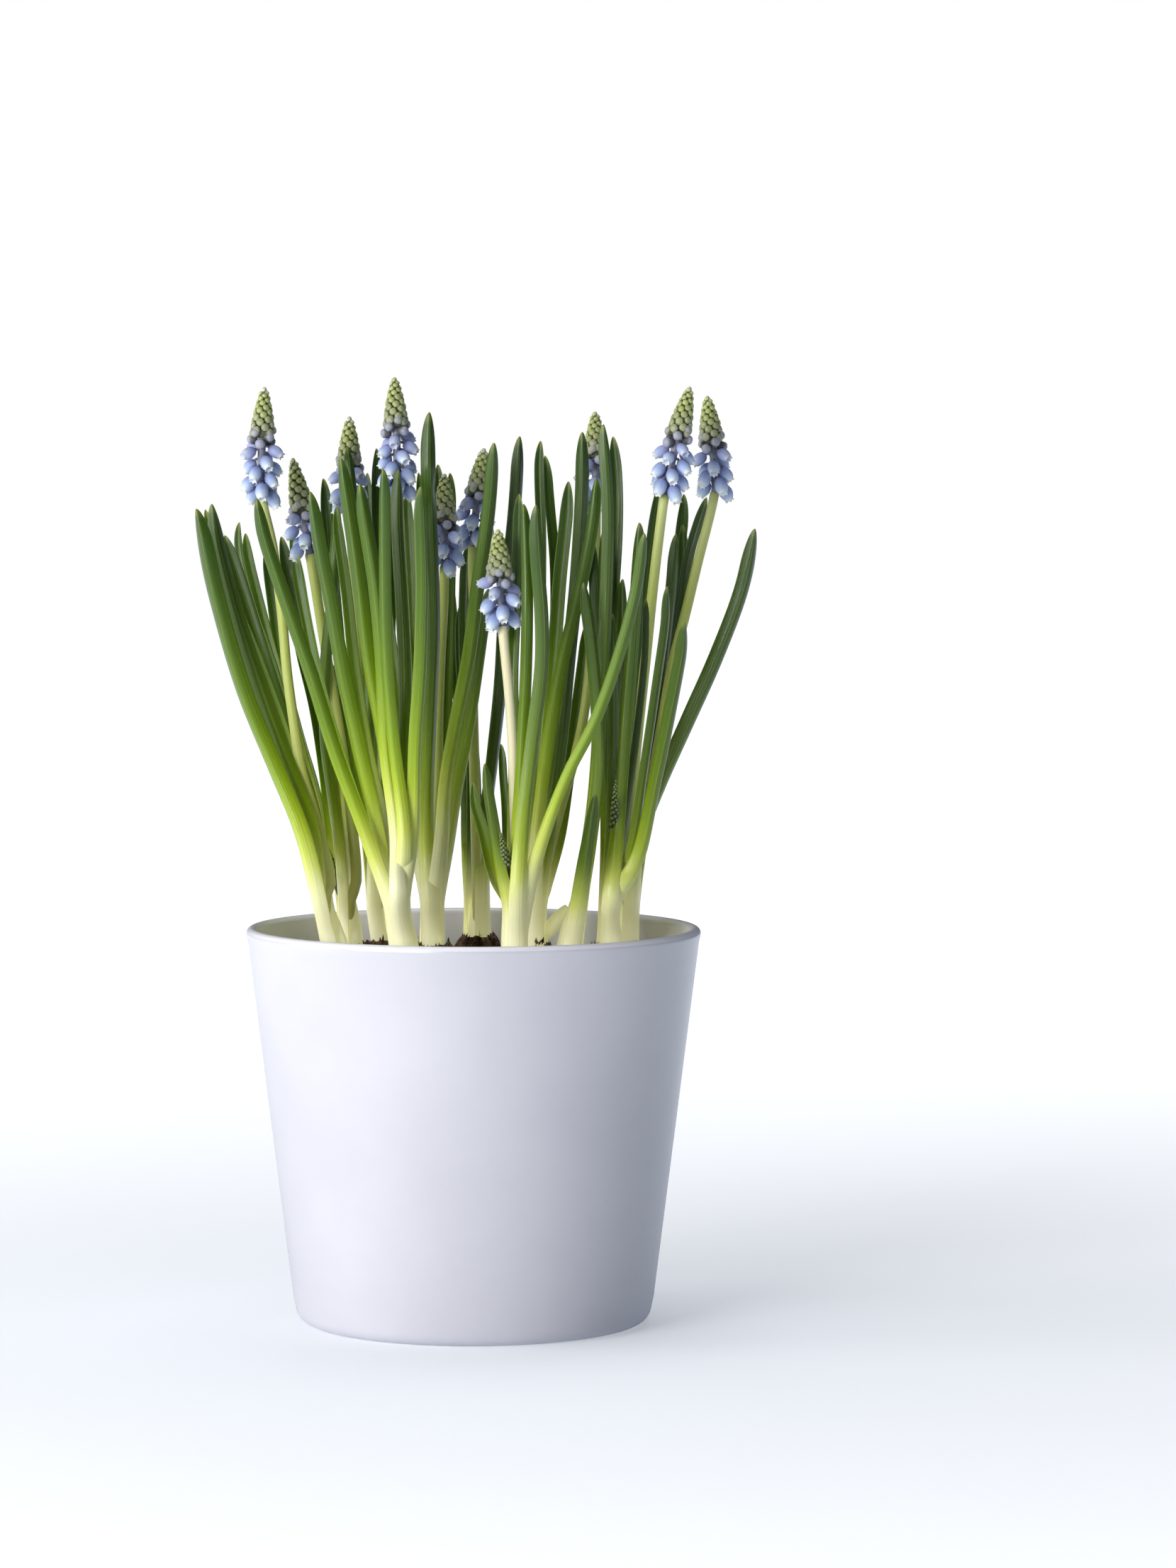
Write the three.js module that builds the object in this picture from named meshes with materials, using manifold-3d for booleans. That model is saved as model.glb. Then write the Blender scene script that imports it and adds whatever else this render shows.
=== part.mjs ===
// A pot of grape hyacinths: eleven bulbs in a plain tapered pot, each with its tuft of channelled leaves
// and most with a leafless stalk that carries a raceme of hanging bells under a cone of closed buds.
// Millimetres, +Z up. The origin is the middle of the pot's underside, and the front faces -Y.
import * as THREE from 'three';
import { mergeVertices } from 'three/addons/utils/BufferGeometryUtils.js';
import Module from 'manifold-3d';

const wasm = await Module();
wasm.setup();

// ---- Driving dimensions ----------------------------------------------------------------------------
const POT_HEIGHT = 122;
const POT_RIM_RADIUS = 70;
const POT_FOOT_RADIUS = 54.7;
const POT_WALL = 3.7;
const POT_FLOOR = 5;
const FOOT_ROUNDING = 5;
const POT_SIDES = 32;

const SOIL_TOP = 106;
const SOIL_SIDES = 20;
const BULB_SIDES = 7;
const SEAT_GAP = 0.35;

const BULB_RADIUS = 8;
const BULB_BOTTOM = 91;
const BULB_NECK_TOP = 112.5;
const NECK_RADIUS = 5.6;
const TUNIC_RAG = 2.2;

const SHEATH_BOTTOM = 104;
const LEAF_BOTTOM = 118.6;
const ROOT_OFFSET = 2.5;
const SHEATH_TOP = 132;
const SHEATH_RADIUS = 4.1;
const SHEATH_SIDES = 8;

const STALK_RADIUS = 1.7;
const STALK_BOTTOM = 115;
const BELL_LENGTH = 5.4;
const BELL_RADIUS = 2.15;
const BELLS_PER_HEAD = 8;
const BUD_COLUMNS = 10;
const BUD_ROWS = 6;
const BUD_CONE_RADIUS = 3.7;

// The plants are drawn on the upright plane through the pot's axis, as they are seen from this far in
// front and from this height. A point that stands farther back is carried along its line of sight.
const VIEW_DISTANCE = 1763;
const VIEW_HEIGHT = 278;

// ---- Finishes --------------------------------------------------------------------------------------
const finish = (color, roughness) => new THREE.MeshStandardMaterial({ color, roughness, metalness: 0 });
const GLAZE = finish(0xe6e6ee, 0.25);
const SOIL = finish(0x3a2a20, 0.95);
const TUNIC = finish(0x4a3026, 0.85);
const LEAF = finish(0x5f8a2e, 0.45);
const STALK = finish(0xc9cf78, 0.5);
const BLOOM = finish(0x9aaed8, 0.5);

// ---- The eleven plants -----------------------------------------------------------------------------
// at: where the bulb stands (x, y). sheath: where the sheath's top is drawn (x).
// leaves: [blade width, depth of the tip, then the drawn middle line as x, z pairs up to the tip].
// stalk: [depth of the head, then x, z pairs up to the lowest bell]. head: [x, z of the tip, cone length].
const PLANTS = [
  { at: [-39.5, -14], sheath: -46.2, leaves: [
    [5.8, -24, -53, 150, -61, 170, -71.2, 195, -79.7, 225, -83.2, 242, -85, 250.5],
    [5.2, -14, -50, 150, -58, 175, -66.8, 200, -73.2, 220, -78.2, 240, -80.2, 252],
    [3.0, -6, -49.5, 155, -57, 180, -66, 205, -75.5, 228, -82.2, 250.3],
    [4.4, 4, -49, 155, -56, 178, -64, 203, -70.7, 225, -76.3, 242.4],
    [3.4, 12, -48.5, 155, -54.5, 178, -61.5, 203, -68, 222, -71.5, 238, -71.7, 246.4],
    [3.2, 20, -48.3, 157, -54, 180, -60.8, 203, -66.5, 225, -69.2, 237, -69.9, 243],
    [3.4, 28, -48, 160, -53.5, 180, -58.5, 200, -61.8, 222, -63.8, 238],
  ], stalk: [-4, -44, 135, -48.5, 155, -52.8, 170, -55.2, 185, -57.2, 200, -59, 220, -61.8, 240, -64.8, 254],
    head: [-64, 287.5, 15] },
  { at: [-37, 8], sheath: -38, leaves: [
    [4.6, 24, -43.5, 150, -46.2, 172, -49, 190, -53, 207, -56.3, 226, -59, 242],
    [2.8, 16, -40, 150, -42.5, 175, -46.7, 195, -50.5, 212, -54, 230, -55.5, 245],
    [3.6, 6, -42, 150, -45.4, 178, -45.6, 200, -43.6, 222, -42.3, 240, -41.7, 251.2],
    [4.2, 12, -41.5, 145, -43.6, 165, -44, 185, -42.5, 203],
  ], stalk: [10, -36.2, 135, -37.5, 155, -40, 175, -43.3, 195, -46.2, 212, -48.4, 226, -50.2, 237],
    head: [-55.4, 265.8, 17] },
  { at: [-26, 30], sheath: -30, leaves: [
    [4.4, 34, -33.5, 150, -37.5, 172, -40.7, 198, -42.9, 222, -45, 245, -46.1, 259.8],
    [3.4, 26, -31, 150, -32, 175, -32, 210, -34.4, 235, -37.4, 258, -38.6, 269.8],
    [3.0, 48, -29.5, 150, -29.5, 185, -30.6, 220, -31.6, 248, -32.5, 261.5],
    [3.2, 52, -28, 150, -26.5, 185, -25.5, 220, -25.2, 250, -26.4, 265.3],
  ], stalk: [30, -29.5, 135, -30.5, 155, -33, 180, -35.6, 215, -37.4, 240, -38, 252],
    head: [-38, 278.5, 15] },
  { at: [-19.5, -25], sheath: -24, leaves: [
    [4.4, -40, -33.2, 150, -42.4, 175, -50.2, 200, -58.8, 225, -64.6, 243, -66.5, 253.6],
    [5.0, -34, -29.8, 150, -36.2, 180, -40.5, 200, -44, 220, -47.8, 240, -50.2, 255.8],
    [2.8, -14, -31.5, 148, -39, 172, -45, 192, -50, 215, -53.5, 236],
    [4.8, -30, -24, 150, -28.2, 180, -32.6, 205, -35.6, 230, -38.8, 253, -40.7, 266],
    [3.8, -20, -27, 150, -32.4, 177, -36, 200, -38.6, 225, -41, 243, -41.9, 251.2],
    [4.6, -36, -23.5, 150, -26.6, 175, -27.8, 203, -30.2, 228, -33.5, 248, -34.9, 258.2],
    [4.2, -44, -21.5, 150, -24.8, 178, -27, 205, -27.6, 230, -27.7, 252, -27.8, 262.8],
    [4.6, -48, -18.4, 150, -17.5, 178, -15.8, 203, -15.2, 228, -15.8, 247, -16.1, 257.4],
  ], stalk: [4, -21.5, 140, -20.5, 160, -20.2, 185, -21, 215, -22.4, 240, -23, 254],
    head: [-24.2, 290.5, 15] },
  { at: [-12.5, 16], sheath: -12.6, leaves: [
    [4.2, 4, -19.2, 155, -19.6, 180, -20, 205, -22, 225, -23.2, 248, -22.9, 263],
    [5.0, -6, -14.5, 150, -13.2, 185, -12, 215, -12.8, 240, -13.6, 264, -13.5, 280.1],
    [3.6, 34, -9.3, 150, -8.6, 185, -7.7, 215, -7.2, 245, -7.2, 261.5],
    [4.4, -16, -9.8, 148, -8.4, 166, -5.2, 185, -1.3, 205, 1.3, 226, 4.6, 249, 6.3, 270.7],
    [4.2, 0, -7.6, 148, -4.6, 168, -0.7, 190, 2.6, 212, 4.6, 226],
    [4.0, 34, -18.6, 155, -22.4, 185, -26.4, 215, -29.4, 245, -29.8, 269],
    [3.8, 44, -17.5, 160, -18, 195, -18.6, 230, -19.6, 247, -20.2, 256],
    [2.6, 52, -15.6, 160, -15.8, 200, -16.6, 240, -16.9, 261.6],
  ], stalk: [18, -11.5, 135, -11, 160, -10.9, 185, -10, 207, -9.1, 222, -9, 233], head: [-8.9, 261, 15] },
  { at: [1.5, 42], sheath: 1.2, leaves: [
    [4.6, 46, 0, 150, 0, 172, -1.6, 195, -2.2, 215, -1.9, 230, -1.5, 240],
    [3.8, 54, -2.2, 150, -2.5, 172, -3.7, 195, -4.4, 210, -4.3, 220.5],
    [4.4, 36, 3.5, 150, 6, 172, 8.6, 197, 10, 222, 12.8, 250, 14.2, 272.7],
    [3.8, 58, -1.5, 150, -4, 185, -7, 220, -10, 248, -10.9, 264.1],
  ], stalk: [26, 1, 140, 0.4, 165, -0.2, 195, 0, 220, -0.2, 239], head: [3.2, 268.8, 14] },
  { at: [12.5, -28], sheath: 12.6, leaves: [
    [3.6, -22, 12.5, 155, 12.7, 180, 12.3, 200, 13.1, 220, 13.8, 243, 14, 255.1],
    [3.8, -34, 13.6, 152, 14.7, 178, 15.8, 200, 16.2, 222, 15.9, 240, 15.3, 252],
    [4.6, -42, 15, 150, 18.6, 180, 21.3, 202, 21.3, 217, 19.6, 239, 19.2, 251.7],
    [3.6, -54, 16.4, 132, 21.7, 150, 29.5, 170, 37.2, 185, 44.4, 205, 49.7, 225, 52.4, 243],
    [3.6, -36, 8, 140, 5.6, 155, 4.2, 164, 3.4, 172.3],
    [3.2, -26, 6, 137, 2.8, 152, 0.6, 160, 0, 166.4],
    [2.8, -14, 10.8, 142, 9.8, 158, 8.9, 168, 8.4, 178.3],
  ], stalk: [-30, 13, 135, 12.8, 150, 12.5, 165, 11.9, 180, 10.8, 195, 9.4, 209, 8.8, 216],
    head: [7.5, 244, 14] },
  { at: [18, 10], sheath: 18.4, leaves: [
    [3.4, 18, 19, 155, 20.6, 185, 20.9, 215, 21, 243, 20.3, 262, 20.6, 271.3],
    [3.6, 26, 19.6, 155, 22, 180, 24.4, 210, 24.6, 232, 22.9, 253, 21.8, 266.8],
    [4.4, 12, 20.4, 150, 23, 180, 24.9, 205, 26.6, 230, 28.6, 250, 29.1, 258.9],
    [4.4, -4, 23, 150, 26.8, 180, 29.2, 205, 31.6, 228, 33.2, 256, 33.3, 274],
    [4.2, -16, 19.4, 150, 22.8, 180, 27.3, 205, 32.2, 225, 36.2, 246, 37.6, 260.1],
    [4.4, 24, 26.6, 150, 29.6, 169, 32.4, 190, 34.6, 207, 35.6, 217],
    [2.0, -8, 23.4, 121, 26.4, 124.5, 29.5, 127.6],
  ], stalk: [30, 20.5, 135, 26.5, 158, 33, 182, 36, 207, 37.2, 232, 37.5, 252], head: [37.2, 280, 14] },
  { at: [27.5, -14], sheath: 31.8, leaves: [
    [4.2, -17, 36.6, 150, 38.4, 170, 39.6, 197, 41, 225, 41.5, 252, 39.8, 276.4],
    [3.8, 6, 35.6, 150, 37.2, 170, 38.4, 200, 39.3, 228, 39.7, 244],
    [4.2, -24, 36.4, 148, 38.8, 170, 38.2, 190, 36, 213, 33.8, 228],
    [3.4, -30, 34.2, 142, 35.8, 152, 37.4, 163],
  ] },
  { at: [41, -2], sheath: 41.2, leaves: [
    [4.0, 10, 41.3, 152, 41, 180, 41.6, 210, 43.6, 240, 43.8, 257, 42.7, 272.6],
    [4.0, -10, 41.4, 150, 40.1, 182, 38.4, 212, 37.4, 230, 37.1, 239.6],
    [4.4, -22, 43.9, 150, 45.8, 178, 48.2, 208, 50, 232, 50.8, 246.3],
    [3.8, 20, 42.6, 152, 44.6, 185, 45.8, 212, 45.8, 229],
    [3.4, -16, 42.4, 150, 43, 180, 43, 203, 42.6, 218.3],
    [4.2, 14, 46, 145, 48.6, 172, 51.3, 205, 53.6, 235, 56.4, 257],
    [3.4, -34, 48.6, 145, 53, 172, 56.8, 198, 59.3, 217, 59.5, 226.8],
    [2.6, -12, 45.6, 150, 49.6, 180, 52.2, 205, 52.6, 223],
    [4.2, -40, 50.6, 143, 56, 167, 60.8, 190, 64, 207, 64.7, 215.6],
  ], stalk: [-4, 45, 135, 47.8, 155, 50.5, 182, 52.9, 205, 55, 226, 57.2, 245, 58.6, 255],
    head: [66.2, 287.6, 15] },
  { at: [46, 22], sheath: 47.4, leaves: [
    [4.4, 44, 51.5, 150, 56, 178, 59.8, 207, 62.4, 235, 64.4, 255],
    [4.2, 22, 51, 150, 55, 176, 59, 206, 61.4, 230, 62.2, 242.9],
    [3.8, 36, 51.3, 150, 56.4, 180, 60.8, 207, 64.2, 233, 64.2, 245.6],
    [3.4, 30, 52, 150, 58, 180, 62, 210, 66, 236, 71.4, 254],
    [5.0, 8, 51, 148, 57.3, 165, 66, 185, 74.8, 205, 82.3, 225, 85.3, 238, 86.3, 244.4],
  ], stalk: [18, 50, 145, 56.4, 176, 61.2, 203, 65.2, 219, 69, 235, 72.8, 250, 74, 256],
    head: [71.5, 284.8, 14] },
];

// Short young spikes that stand beside a sheath: [plant, depth, x, z of the root, x, z of the tip].
const YOUNG_SPIKES = [
  [1, 7, -41, 132, -48, 153.4],
  [6, -37, 12.4, 132, 8.3, 151],
  [9, -22, 42.6, 140, 43.8, 167],
];

// ---- Depths ----------------------------------------------------------------------------------------
// Every leaf, stalk and head is first fanned out from its bulb to the depth of its tip. Where two of them
// would cross, they are then bent apart, towards the front and the back, so the drawn front view stays.
const LEVEL = 6;
const LEVELS_FROM = 108;
const HEAD_RADIUS = 8.2;
const CONE_RADIUS = 4.4;
const CLEARANCE = 0.9;
const SETTLE_ROUNDS = 400;
const DEPTH_LIMIT = 62;
const EASE = 0.22;
const AIM_PULL = 0.15;
const STIFFNESS = { leaf: 0.3, stalk: 0.15 };

const pairs = (list) => {
  const points = [];
  for (let i = 0; i < list.length; i += 2) points.push([list[i], list[i + 1]]);
  return points;
};

function acrossAt(points, z) {
  let i = 1;
  while (i < points.length - 1 && points[i][1] < z) i++;
  const [x0, z0] = points[i - 1];
  const [x1, z1] = points[i];
  const t = Math.min(Math.max((z - z0) / (z1 - z0), 0), 1);
  return x0 + (x1 - x0) * t;
}

// A leaf leaves its sheath on the side that it grows towards, and a stalk leaves it in the middle.
function makeStrand(plant, kind, width, tipDepth, drawn) {
  const { at: [bulbX, bulbY], sheath } = PLANTS[plant];
  const core = [[bulbX, SHEATH_BOTTOM], [sheath, SHEATH_TOP]];
  const way = new THREE.Vector2(drawn[0][0] - sheath, 0.35 * (tipDepth - bulbY) + 0.1).normalize();
  way.multiplyScalar(kind === 'leaf' ? ROOT_OFFSET : 0);
  const rise = kind === 'leaf' ? [LEAF_BOTTOM, SHEATH_TOP - 4] : [STALK_BOTTOM, SHEATH_TOP - 2];
  const roots = rise.map((z) => [acrossAt(core, z) + way.x, z]);
  const line = drawn[0][1] < SHEATH_TOP + 1 ? [roots[0], ...drawn] : [...roots, ...drawn];
  const tip = line[line.length - 1];
  const levels = [];
  const count = Math.max(3, Math.round((tip[1] - LEVELS_FROM) / LEVEL));
  for (let k = 0; k <= count; k++) {
    const z = LEVELS_FROM + LEVEL * k;
    const out = Math.max(k - 3, 0) / Math.max(count - 3, 1);
    const aim = bulbY + way.y + (tipDepth - bulbY - way.y) * Math.pow(out, 0.95);
    levels.push({ x: acrossAt(line, z), z, aim, y: aim });
  }
  return { plant, kind, width, line, levels };
}

const strands = [];
PLANTS.forEach((plant, p) => {
  for (const [width, depth, ...drawn] of plant.leaves) {
    strands.push(makeStrand(p, 'leaf', width, depth, pairs(drawn)));
  }
  if (!plant.stalk) return;
  const [depth, ...drawn] = plant.stalk;
  const [tipX, tipZ, cone] = plant.head;
  const stalk = makeStrand(p, 'stalk', 2 * STALK_RADIUS, depth, pairs(drawn).concat([[tipX, tipZ]]));
  stalk.bellsFrom = drawn[drawn.length - 1] - 1;
  stalk.coneFrom = tipZ - cone;
  strands.push(stalk);
});

function reach(strand, z) {
  if (strand.kind === 'leaf') return { across: strand.width / 2 + 0.3, deep: 0.42 * strand.width };
  if (z < strand.bellsFrom - 3) return { across: STALK_RADIUS + 0.3, deep: STALK_RADIUS + 0.2 };
  const radius = z > strand.coneFrom + 2 ? CONE_RADIUS : HEAD_RADIUS;
  return { across: radius, deep: radius };
}

function settle() {
  for (let round = 0; round < SETTLE_ROUNDS; round++) {
    for (let a = 0; a < strands.length; a++) {
      for (let b = a + 1; b < strands.length; b++) {
        const one = strands[a];
        const two = strands[b];
        const top = Math.min(one.levels.length, two.levels.length);
        const free = one.plant === two.plant ? 4 : 2;
        for (let k = free; k < top; k++) {
          const p = one.levels[k];
          const q = two.levels[k];
          const rp = reach(one, p.z);
          const rq = reach(two, q.z);
          const side = Math.abs(p.x - q.x) / (rp.across + rq.across);
          if (side >= 1) continue;
          const need = (rp.deep + rq.deep + CLEARANCE) * Math.sqrt(1 - side * side * side);
          const apart = q.y - p.y;
          const short = need - Math.abs(apart);
          if (short <= 0) continue;
          const way = apart > 0 || (apart === 0 && b % 2 === 0) ? 1 : -1;
          p.y -= way * short * STIFFNESS[one.kind];
          q.y += way * short * STIFFNESS[two.kind];
        }
      }
    }
    const ease = EASE * (1 - round / SETTLE_ROUNDS);
    for (const { levels } of strands) {
      const last = levels.length - 1;
      const before = levels.map((level) => level.y);
      for (let k = 2; k <= last; k++) {
        const next = k < last ? before[k + 1] : 2 * before[k] - before[k - 1];
        const bent = before[k - 1] + next - 2 * before[k];
        levels[k].y += ease * bent + AIM_PULL * ease * (levels[k].aim - before[k]);
        levels[k].y = Math.min(Math.max(levels[k].y, -DEPTH_LIMIT), DEPTH_LIMIT);
      }
    }
  }
}
settle();

function depthAt({ levels }, z) {
  const t = Math.min(Math.max((z - LEVELS_FROM) / LEVEL, 0), levels.length - 1);
  const k = Math.min(Math.floor(t), levels.length - 2);
  return levels[k].y + (levels[k + 1].y - levels[k].y) * (t - k);
}

function stand(x, z, y) {
  const spread = (VIEW_DISTANCE + y) / VIEW_DISTANCE;
  return new THREE.Vector3(x * spread, y, VIEW_HEIGHT + (z - VIEW_HEIGHT) * spread);
}

// The smooth middle line of a strand, through its drawn points at their settled depths.
function middleLine(strand) {
  const drawn = new THREE.CatmullRomCurve3(strand.line.map(([x, z]) => new THREE.Vector3(x, 0, z)));
  const places = drawn.getSpacedPoints(3 * strand.line.length);
  return new THREE.CatmullRomCurve3(places.map((p) => stand(p.x, p.z, depthAt(strand, p.z))));
}

// ---- Solids ----------------------------------------------------------------------------------------
function solidOf(geometry) {
  const bare = geometry.clone();
  bare.deleteAttribute('normal');
  bare.deleteAttribute('uv');
  const merged = mergeVertices(bare, 1e-4);
  const mesh = new wasm.Mesh({
    numProp: 3,
    vertProperties: new Float32Array(merged.attributes.position.array),
    triVerts: new Uint32Array(merged.index.array),
  });
  mesh.merge();
  return new wasm.Manifold(mesh);
}

function geometryOf(solid) {
  const mesh = solid.getMesh();
  const geometry = new THREE.BufferGeometry();
  geometry.setAttribute('position', new THREE.BufferAttribute(mesh.vertProperties, 3));
  geometry.setIndex(new THREE.BufferAttribute(mesh.triVerts, 1));
  geometry.computeVertexNormals();
  return geometry;
}

const joined = (solids) => wasm.Manifold.union(solids);

function largest(solid) {
  const bodies = solid.decompose();
  return bodies.reduce((best, body) => (body.volume() > best.volume() ? body : best));
}

function lathe(profile, sides) {
  const geometry = new THREE.LatheGeometry(profile.map(([r, z]) => new THREE.Vector2(r, z)), sides);
  return geometry.rotateX(Math.PI / 2);
}

// Places along a line, each with a frame whose second axis points outwards from the plant.
function frameAt(curve, t, outward) {
  const place = curve.getPointAt(Math.min(Math.max(t, 0), 1));
  const along = curve.getTangentAt(Math.min(Math.max(t, 0), 1));
  const across = new THREE.Vector3().crossVectors(outward, along).normalize();
  return { place, across, out: new THREE.Vector3().crossVectors(along, across) };
}

// A blade is a straight extrusion of its channelled section, bent along its line and narrowed at its ends.
// The channel opens towards the middle of the plant, each leaf turned a little its own way.
const BLADE_STEPS = [0, 0.28, 0.62, 0.9, 1];
const BLADE_TAPER = [0.7, 0.96, 1, 0.78, 0.2];
const BLADE_SECTION = [[-0.5, 0.32], [-0.2, -0.18], [0.2, -0.18], [0.5, 0.32], [0, 0.05]];
const BLADE_TURN = 0.5;

function blade(strand, number) {
  const curve = middleLine(strand);
  const section = new THREE.Shape(BLADE_SECTION.map(([u, v]) => new THREE.Vector2(u, v)));
  const steps = BLADE_STEPS.length - 1;
  const geometry = new THREE.ExtrudeGeometry(section, { steps, depth: steps, bevelEnabled: false });
  const lean = curve.getPointAt(1).y - PLANTS[strand.plant].at[1];
  const turn = BLADE_TURN * Math.sin(2.4 * number + 1);
  const outward = new THREE.Vector3(Math.sin(turn), lean > 0 ? -Math.cos(turn) : Math.cos(turn), 0);
  const places = geometry.attributes.position;
  for (let i = 0; i < places.count; i++) {
    const k = Math.round(places.getZ(i));
    const { place, across, out } = frameAt(curve, BLADE_STEPS[k], outward);
    const size = strand.width * BLADE_TAPER[k];
    place.addScaledVector(across, places.getX(i) * size).addScaledVector(out, places.getY(i) * size);
    places.setXYZ(i, place.x, place.y, place.z);
  }
  return solidOf(geometry);
}

function round(path, radii, sides) {
  const steps = radii.length - 1;
  const corners = Array.from({ length: sides }, (_, i) => (2 * Math.PI * i) / sides);
  const ring = new THREE.Shape(corners.map((turn) => new THREE.Vector2(Math.cos(turn), Math.sin(turn))));
  const geometry = new THREE.ExtrudeGeometry(ring, { steps, depth: steps, bevelEnabled: false });
  const outward = new THREE.Vector3(0, -1, 0);
  const places = geometry.attributes.position;
  for (let i = 0; i < places.count; i++) {
    const k = Math.round(places.getZ(i));
    const { place, across, out } = frameAt(path, k / steps, outward);
    place.addScaledVector(across, places.getX(i) * radii[k]).addScaledVector(out, places.getY(i) * radii[k]);
    places.setXYZ(i, place.x, place.y, place.z);
  }
  return solidOf(geometry);
}

// ---- Pot and soil ----------------------------------------------------------------------------------
const wallSlope = (POT_RIM_RADIUS - POT_FOOT_RADIUS) / POT_HEIGHT;
const outerRadius = (z) => POT_FOOT_RADIUS + wallSlope * z;
const innerRadius = (z) => outerRadius(z) - POT_WALL;
const lip = POT_WALL / 2;
const lipMiddle = POT_RIM_RADIUS - lip;

function potProfile() {
  const profile = [[0, 0], [POT_FOOT_RADIUS - FOOT_ROUNDING, 0]];
  profile.push([outerRadius(0) - 0.3 * FOOT_ROUNDING, 0.3 * FOOT_ROUNDING]);
  profile.push([outerRadius(FOOT_ROUNDING), FOOT_ROUNDING]);
  profile.push([outerRadius(POT_HEIGHT - lip), POT_HEIGHT - lip]);
  profile.push([lipMiddle + 0.7 * lip, POT_HEIGHT - 0.3 * lip]);
  profile.push([lipMiddle, POT_HEIGHT], [lipMiddle - 0.7 * lip, POT_HEIGHT - 0.3 * lip]);
  profile.push([innerRadius(POT_HEIGHT - lip), POT_HEIGHT - lip]);
  profile.push([innerRadius(POT_FLOOR + 4), POT_FLOOR + 4]);
  profile.push([innerRadius(POT_FLOOR) - 4, POT_FLOOR], [0, POT_FLOOR]);
  return profile;
}

const BULB_PROFILE = [
  [0, BULB_BOTTOM], [5, BULB_BOTTOM], [BULB_RADIUS, BULB_BOTTOM + 8], [BULB_RADIUS - 0.6, BULB_BOTTOM + 14],
  [NECK_RADIUS, BULB_NECK_TOP],
];

const MOUTH_DEPTH = 4;
const BULB_MOUTH = [
  [NECK_RADIUS - 0.9, BULB_NECK_TOP], [NECK_RADIUS - 1.1, BULB_NECK_TOP - MOUTH_DEPTH],
  [0, BULB_NECK_TOP - MOUTH_DEPTH],
];

function soil() {
  const reachOut = innerRadius(POT_FLOOR + 8) - SEAT_GAP - 1;
  const outline = [
    [0, POT_FLOOR + SEAT_GAP], [reachOut - 4, POT_FLOOR + SEAT_GAP], [reachOut, POT_FLOOR + 8],
    [innerRadius(SOIL_TOP - 2) - SEAT_GAP - 0.5, SOIL_TOP - 2], [40, SOIL_TOP + 0.4], [20, SOIL_TOP + 1.4],
    [0, SOIL_TOP + 0.8],
  ];
  const holes = PLANTS.map(({ at }) => {
    const wide = BULB_RADIUS + SEAT_GAP;
    const low = BULB_BOTTOM - SEAT_GAP;
    const hole = lathe([[0, low], [wide, low], [wide, BULB_NECK_TOP], [0, BULB_NECK_TOP]], BULB_SIDES);
    return solidOf(hole.translate(at[0], at[1], 0));
  });
  return solidOf(lathe(outline, SOIL_SIDES)).subtract(joined(holes));
}

// ---- One plant -------------------------------------------------------------------------------------
function bulb(number) {
  const [x, y] = PLANTS[number].at;
  const crown = lathe([...BULB_PROFILE, ...BULB_MOUTH], BULB_SIDES);
  const places = crown.attributes.position;
  for (let i = 0; i < places.count; i++) {
    if (places.getZ(i) < BULB_NECK_TOP - 0.01) continue;
    const turn = Math.atan2(places.getY(i), places.getX(i)) / (2 * Math.PI);
    const around = Math.round(BULB_SIDES * (turn + 1)) % BULB_SIDES;
    const torn = (around % 2 ? 0.9 : -0.4) * (0.7 + 0.3 * Math.sin(3 * around + number));
    places.setZ(i, BULB_NECK_TOP + TUNIC_RAG * torn);
  }
  const socket = round(sheathLine(number, SEAT_GAP), SHEATH_RADII.map((r) => r + SEAT_GAP), SHEATH_SIDES);
  return solidOf(crown.translate(x, y, 0)).subtract(socket);
}

const SHEATH_RADII = [SHEATH_RADIUS - 0.4, SHEATH_RADIUS, SHEATH_RADIUS, 3.4];
function sheathLine(number, deeper = 0) {
  const { at, sheath } = PLANTS[number];
  const top = stand(sheath, SHEATH_TOP, at[1]);
  const foot = new THREE.Vector3(at[0], at[1], SHEATH_BOTTOM - deeper);
  const neck = new THREE.Vector3(at[0] + 0.15 * (top.x - at[0]), at[1], BULB_NECK_TOP);
  return new THREE.CatmullRomCurve3([foot, neck, top]);
}

function youngSpike([plant, depth, x0, z0, x1, z1]) {
  const at = PLANTS[plant].at[1];
  const line = new THREE.LineCurve3(stand(x0, z0, at), stand(x1, z1, depth));
  return round(line, [1.2, 1.4, 1.9, 1.5, 0.4], 5);
}

const stalkOf = (number) => strands.find((strand) => strand.plant === number && strand.kind === 'stalk');

function stalkSolid(number, grow) {
  const strand = stalkOf(number);
  const curve = middleLine(strand);
  const share = 1 - (strand.line[strand.line.length - 1][1] - strand.bellsFrom) / curve.getLength();
  const places = Array.from({ length: 8 }, (_, i) => curve.getPointAt((share * i) / 7));
  places[0].z -= grow;
  return round(new THREE.CatmullRomCurve3(places), Array(8).fill(STALK_RADIUS + grow), 6);
}

function tuft(number) {
  const pieces = [round(sheathLine(number), SHEATH_RADII, SHEATH_SIDES)];
  strands.forEach((strand, i) => {
    if (strand.plant === number && strand.kind === 'leaf') pieces.push(blade(strand, i));
  });
  for (const spike of YOUNG_SPIKES) if (spike[0] === number) pieces.push(youngSpike(spike));
  const body = joined(pieces);
  return PLANTS[number].stalk ? largest(body.subtract(stalkSolid(number, SEAT_GAP))) : body;
}

// ---- A raceme --------------------------------------------------------------------------------------
// The axis starts this share of the stalk's length above the stalk's end.
const CORE_GAP = 0.003;
const BELL_PROFILE = [[0.22, 0], [1, 0.4], [0.74, 0.84], [0.9, 1], [0, 0.86]];

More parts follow.
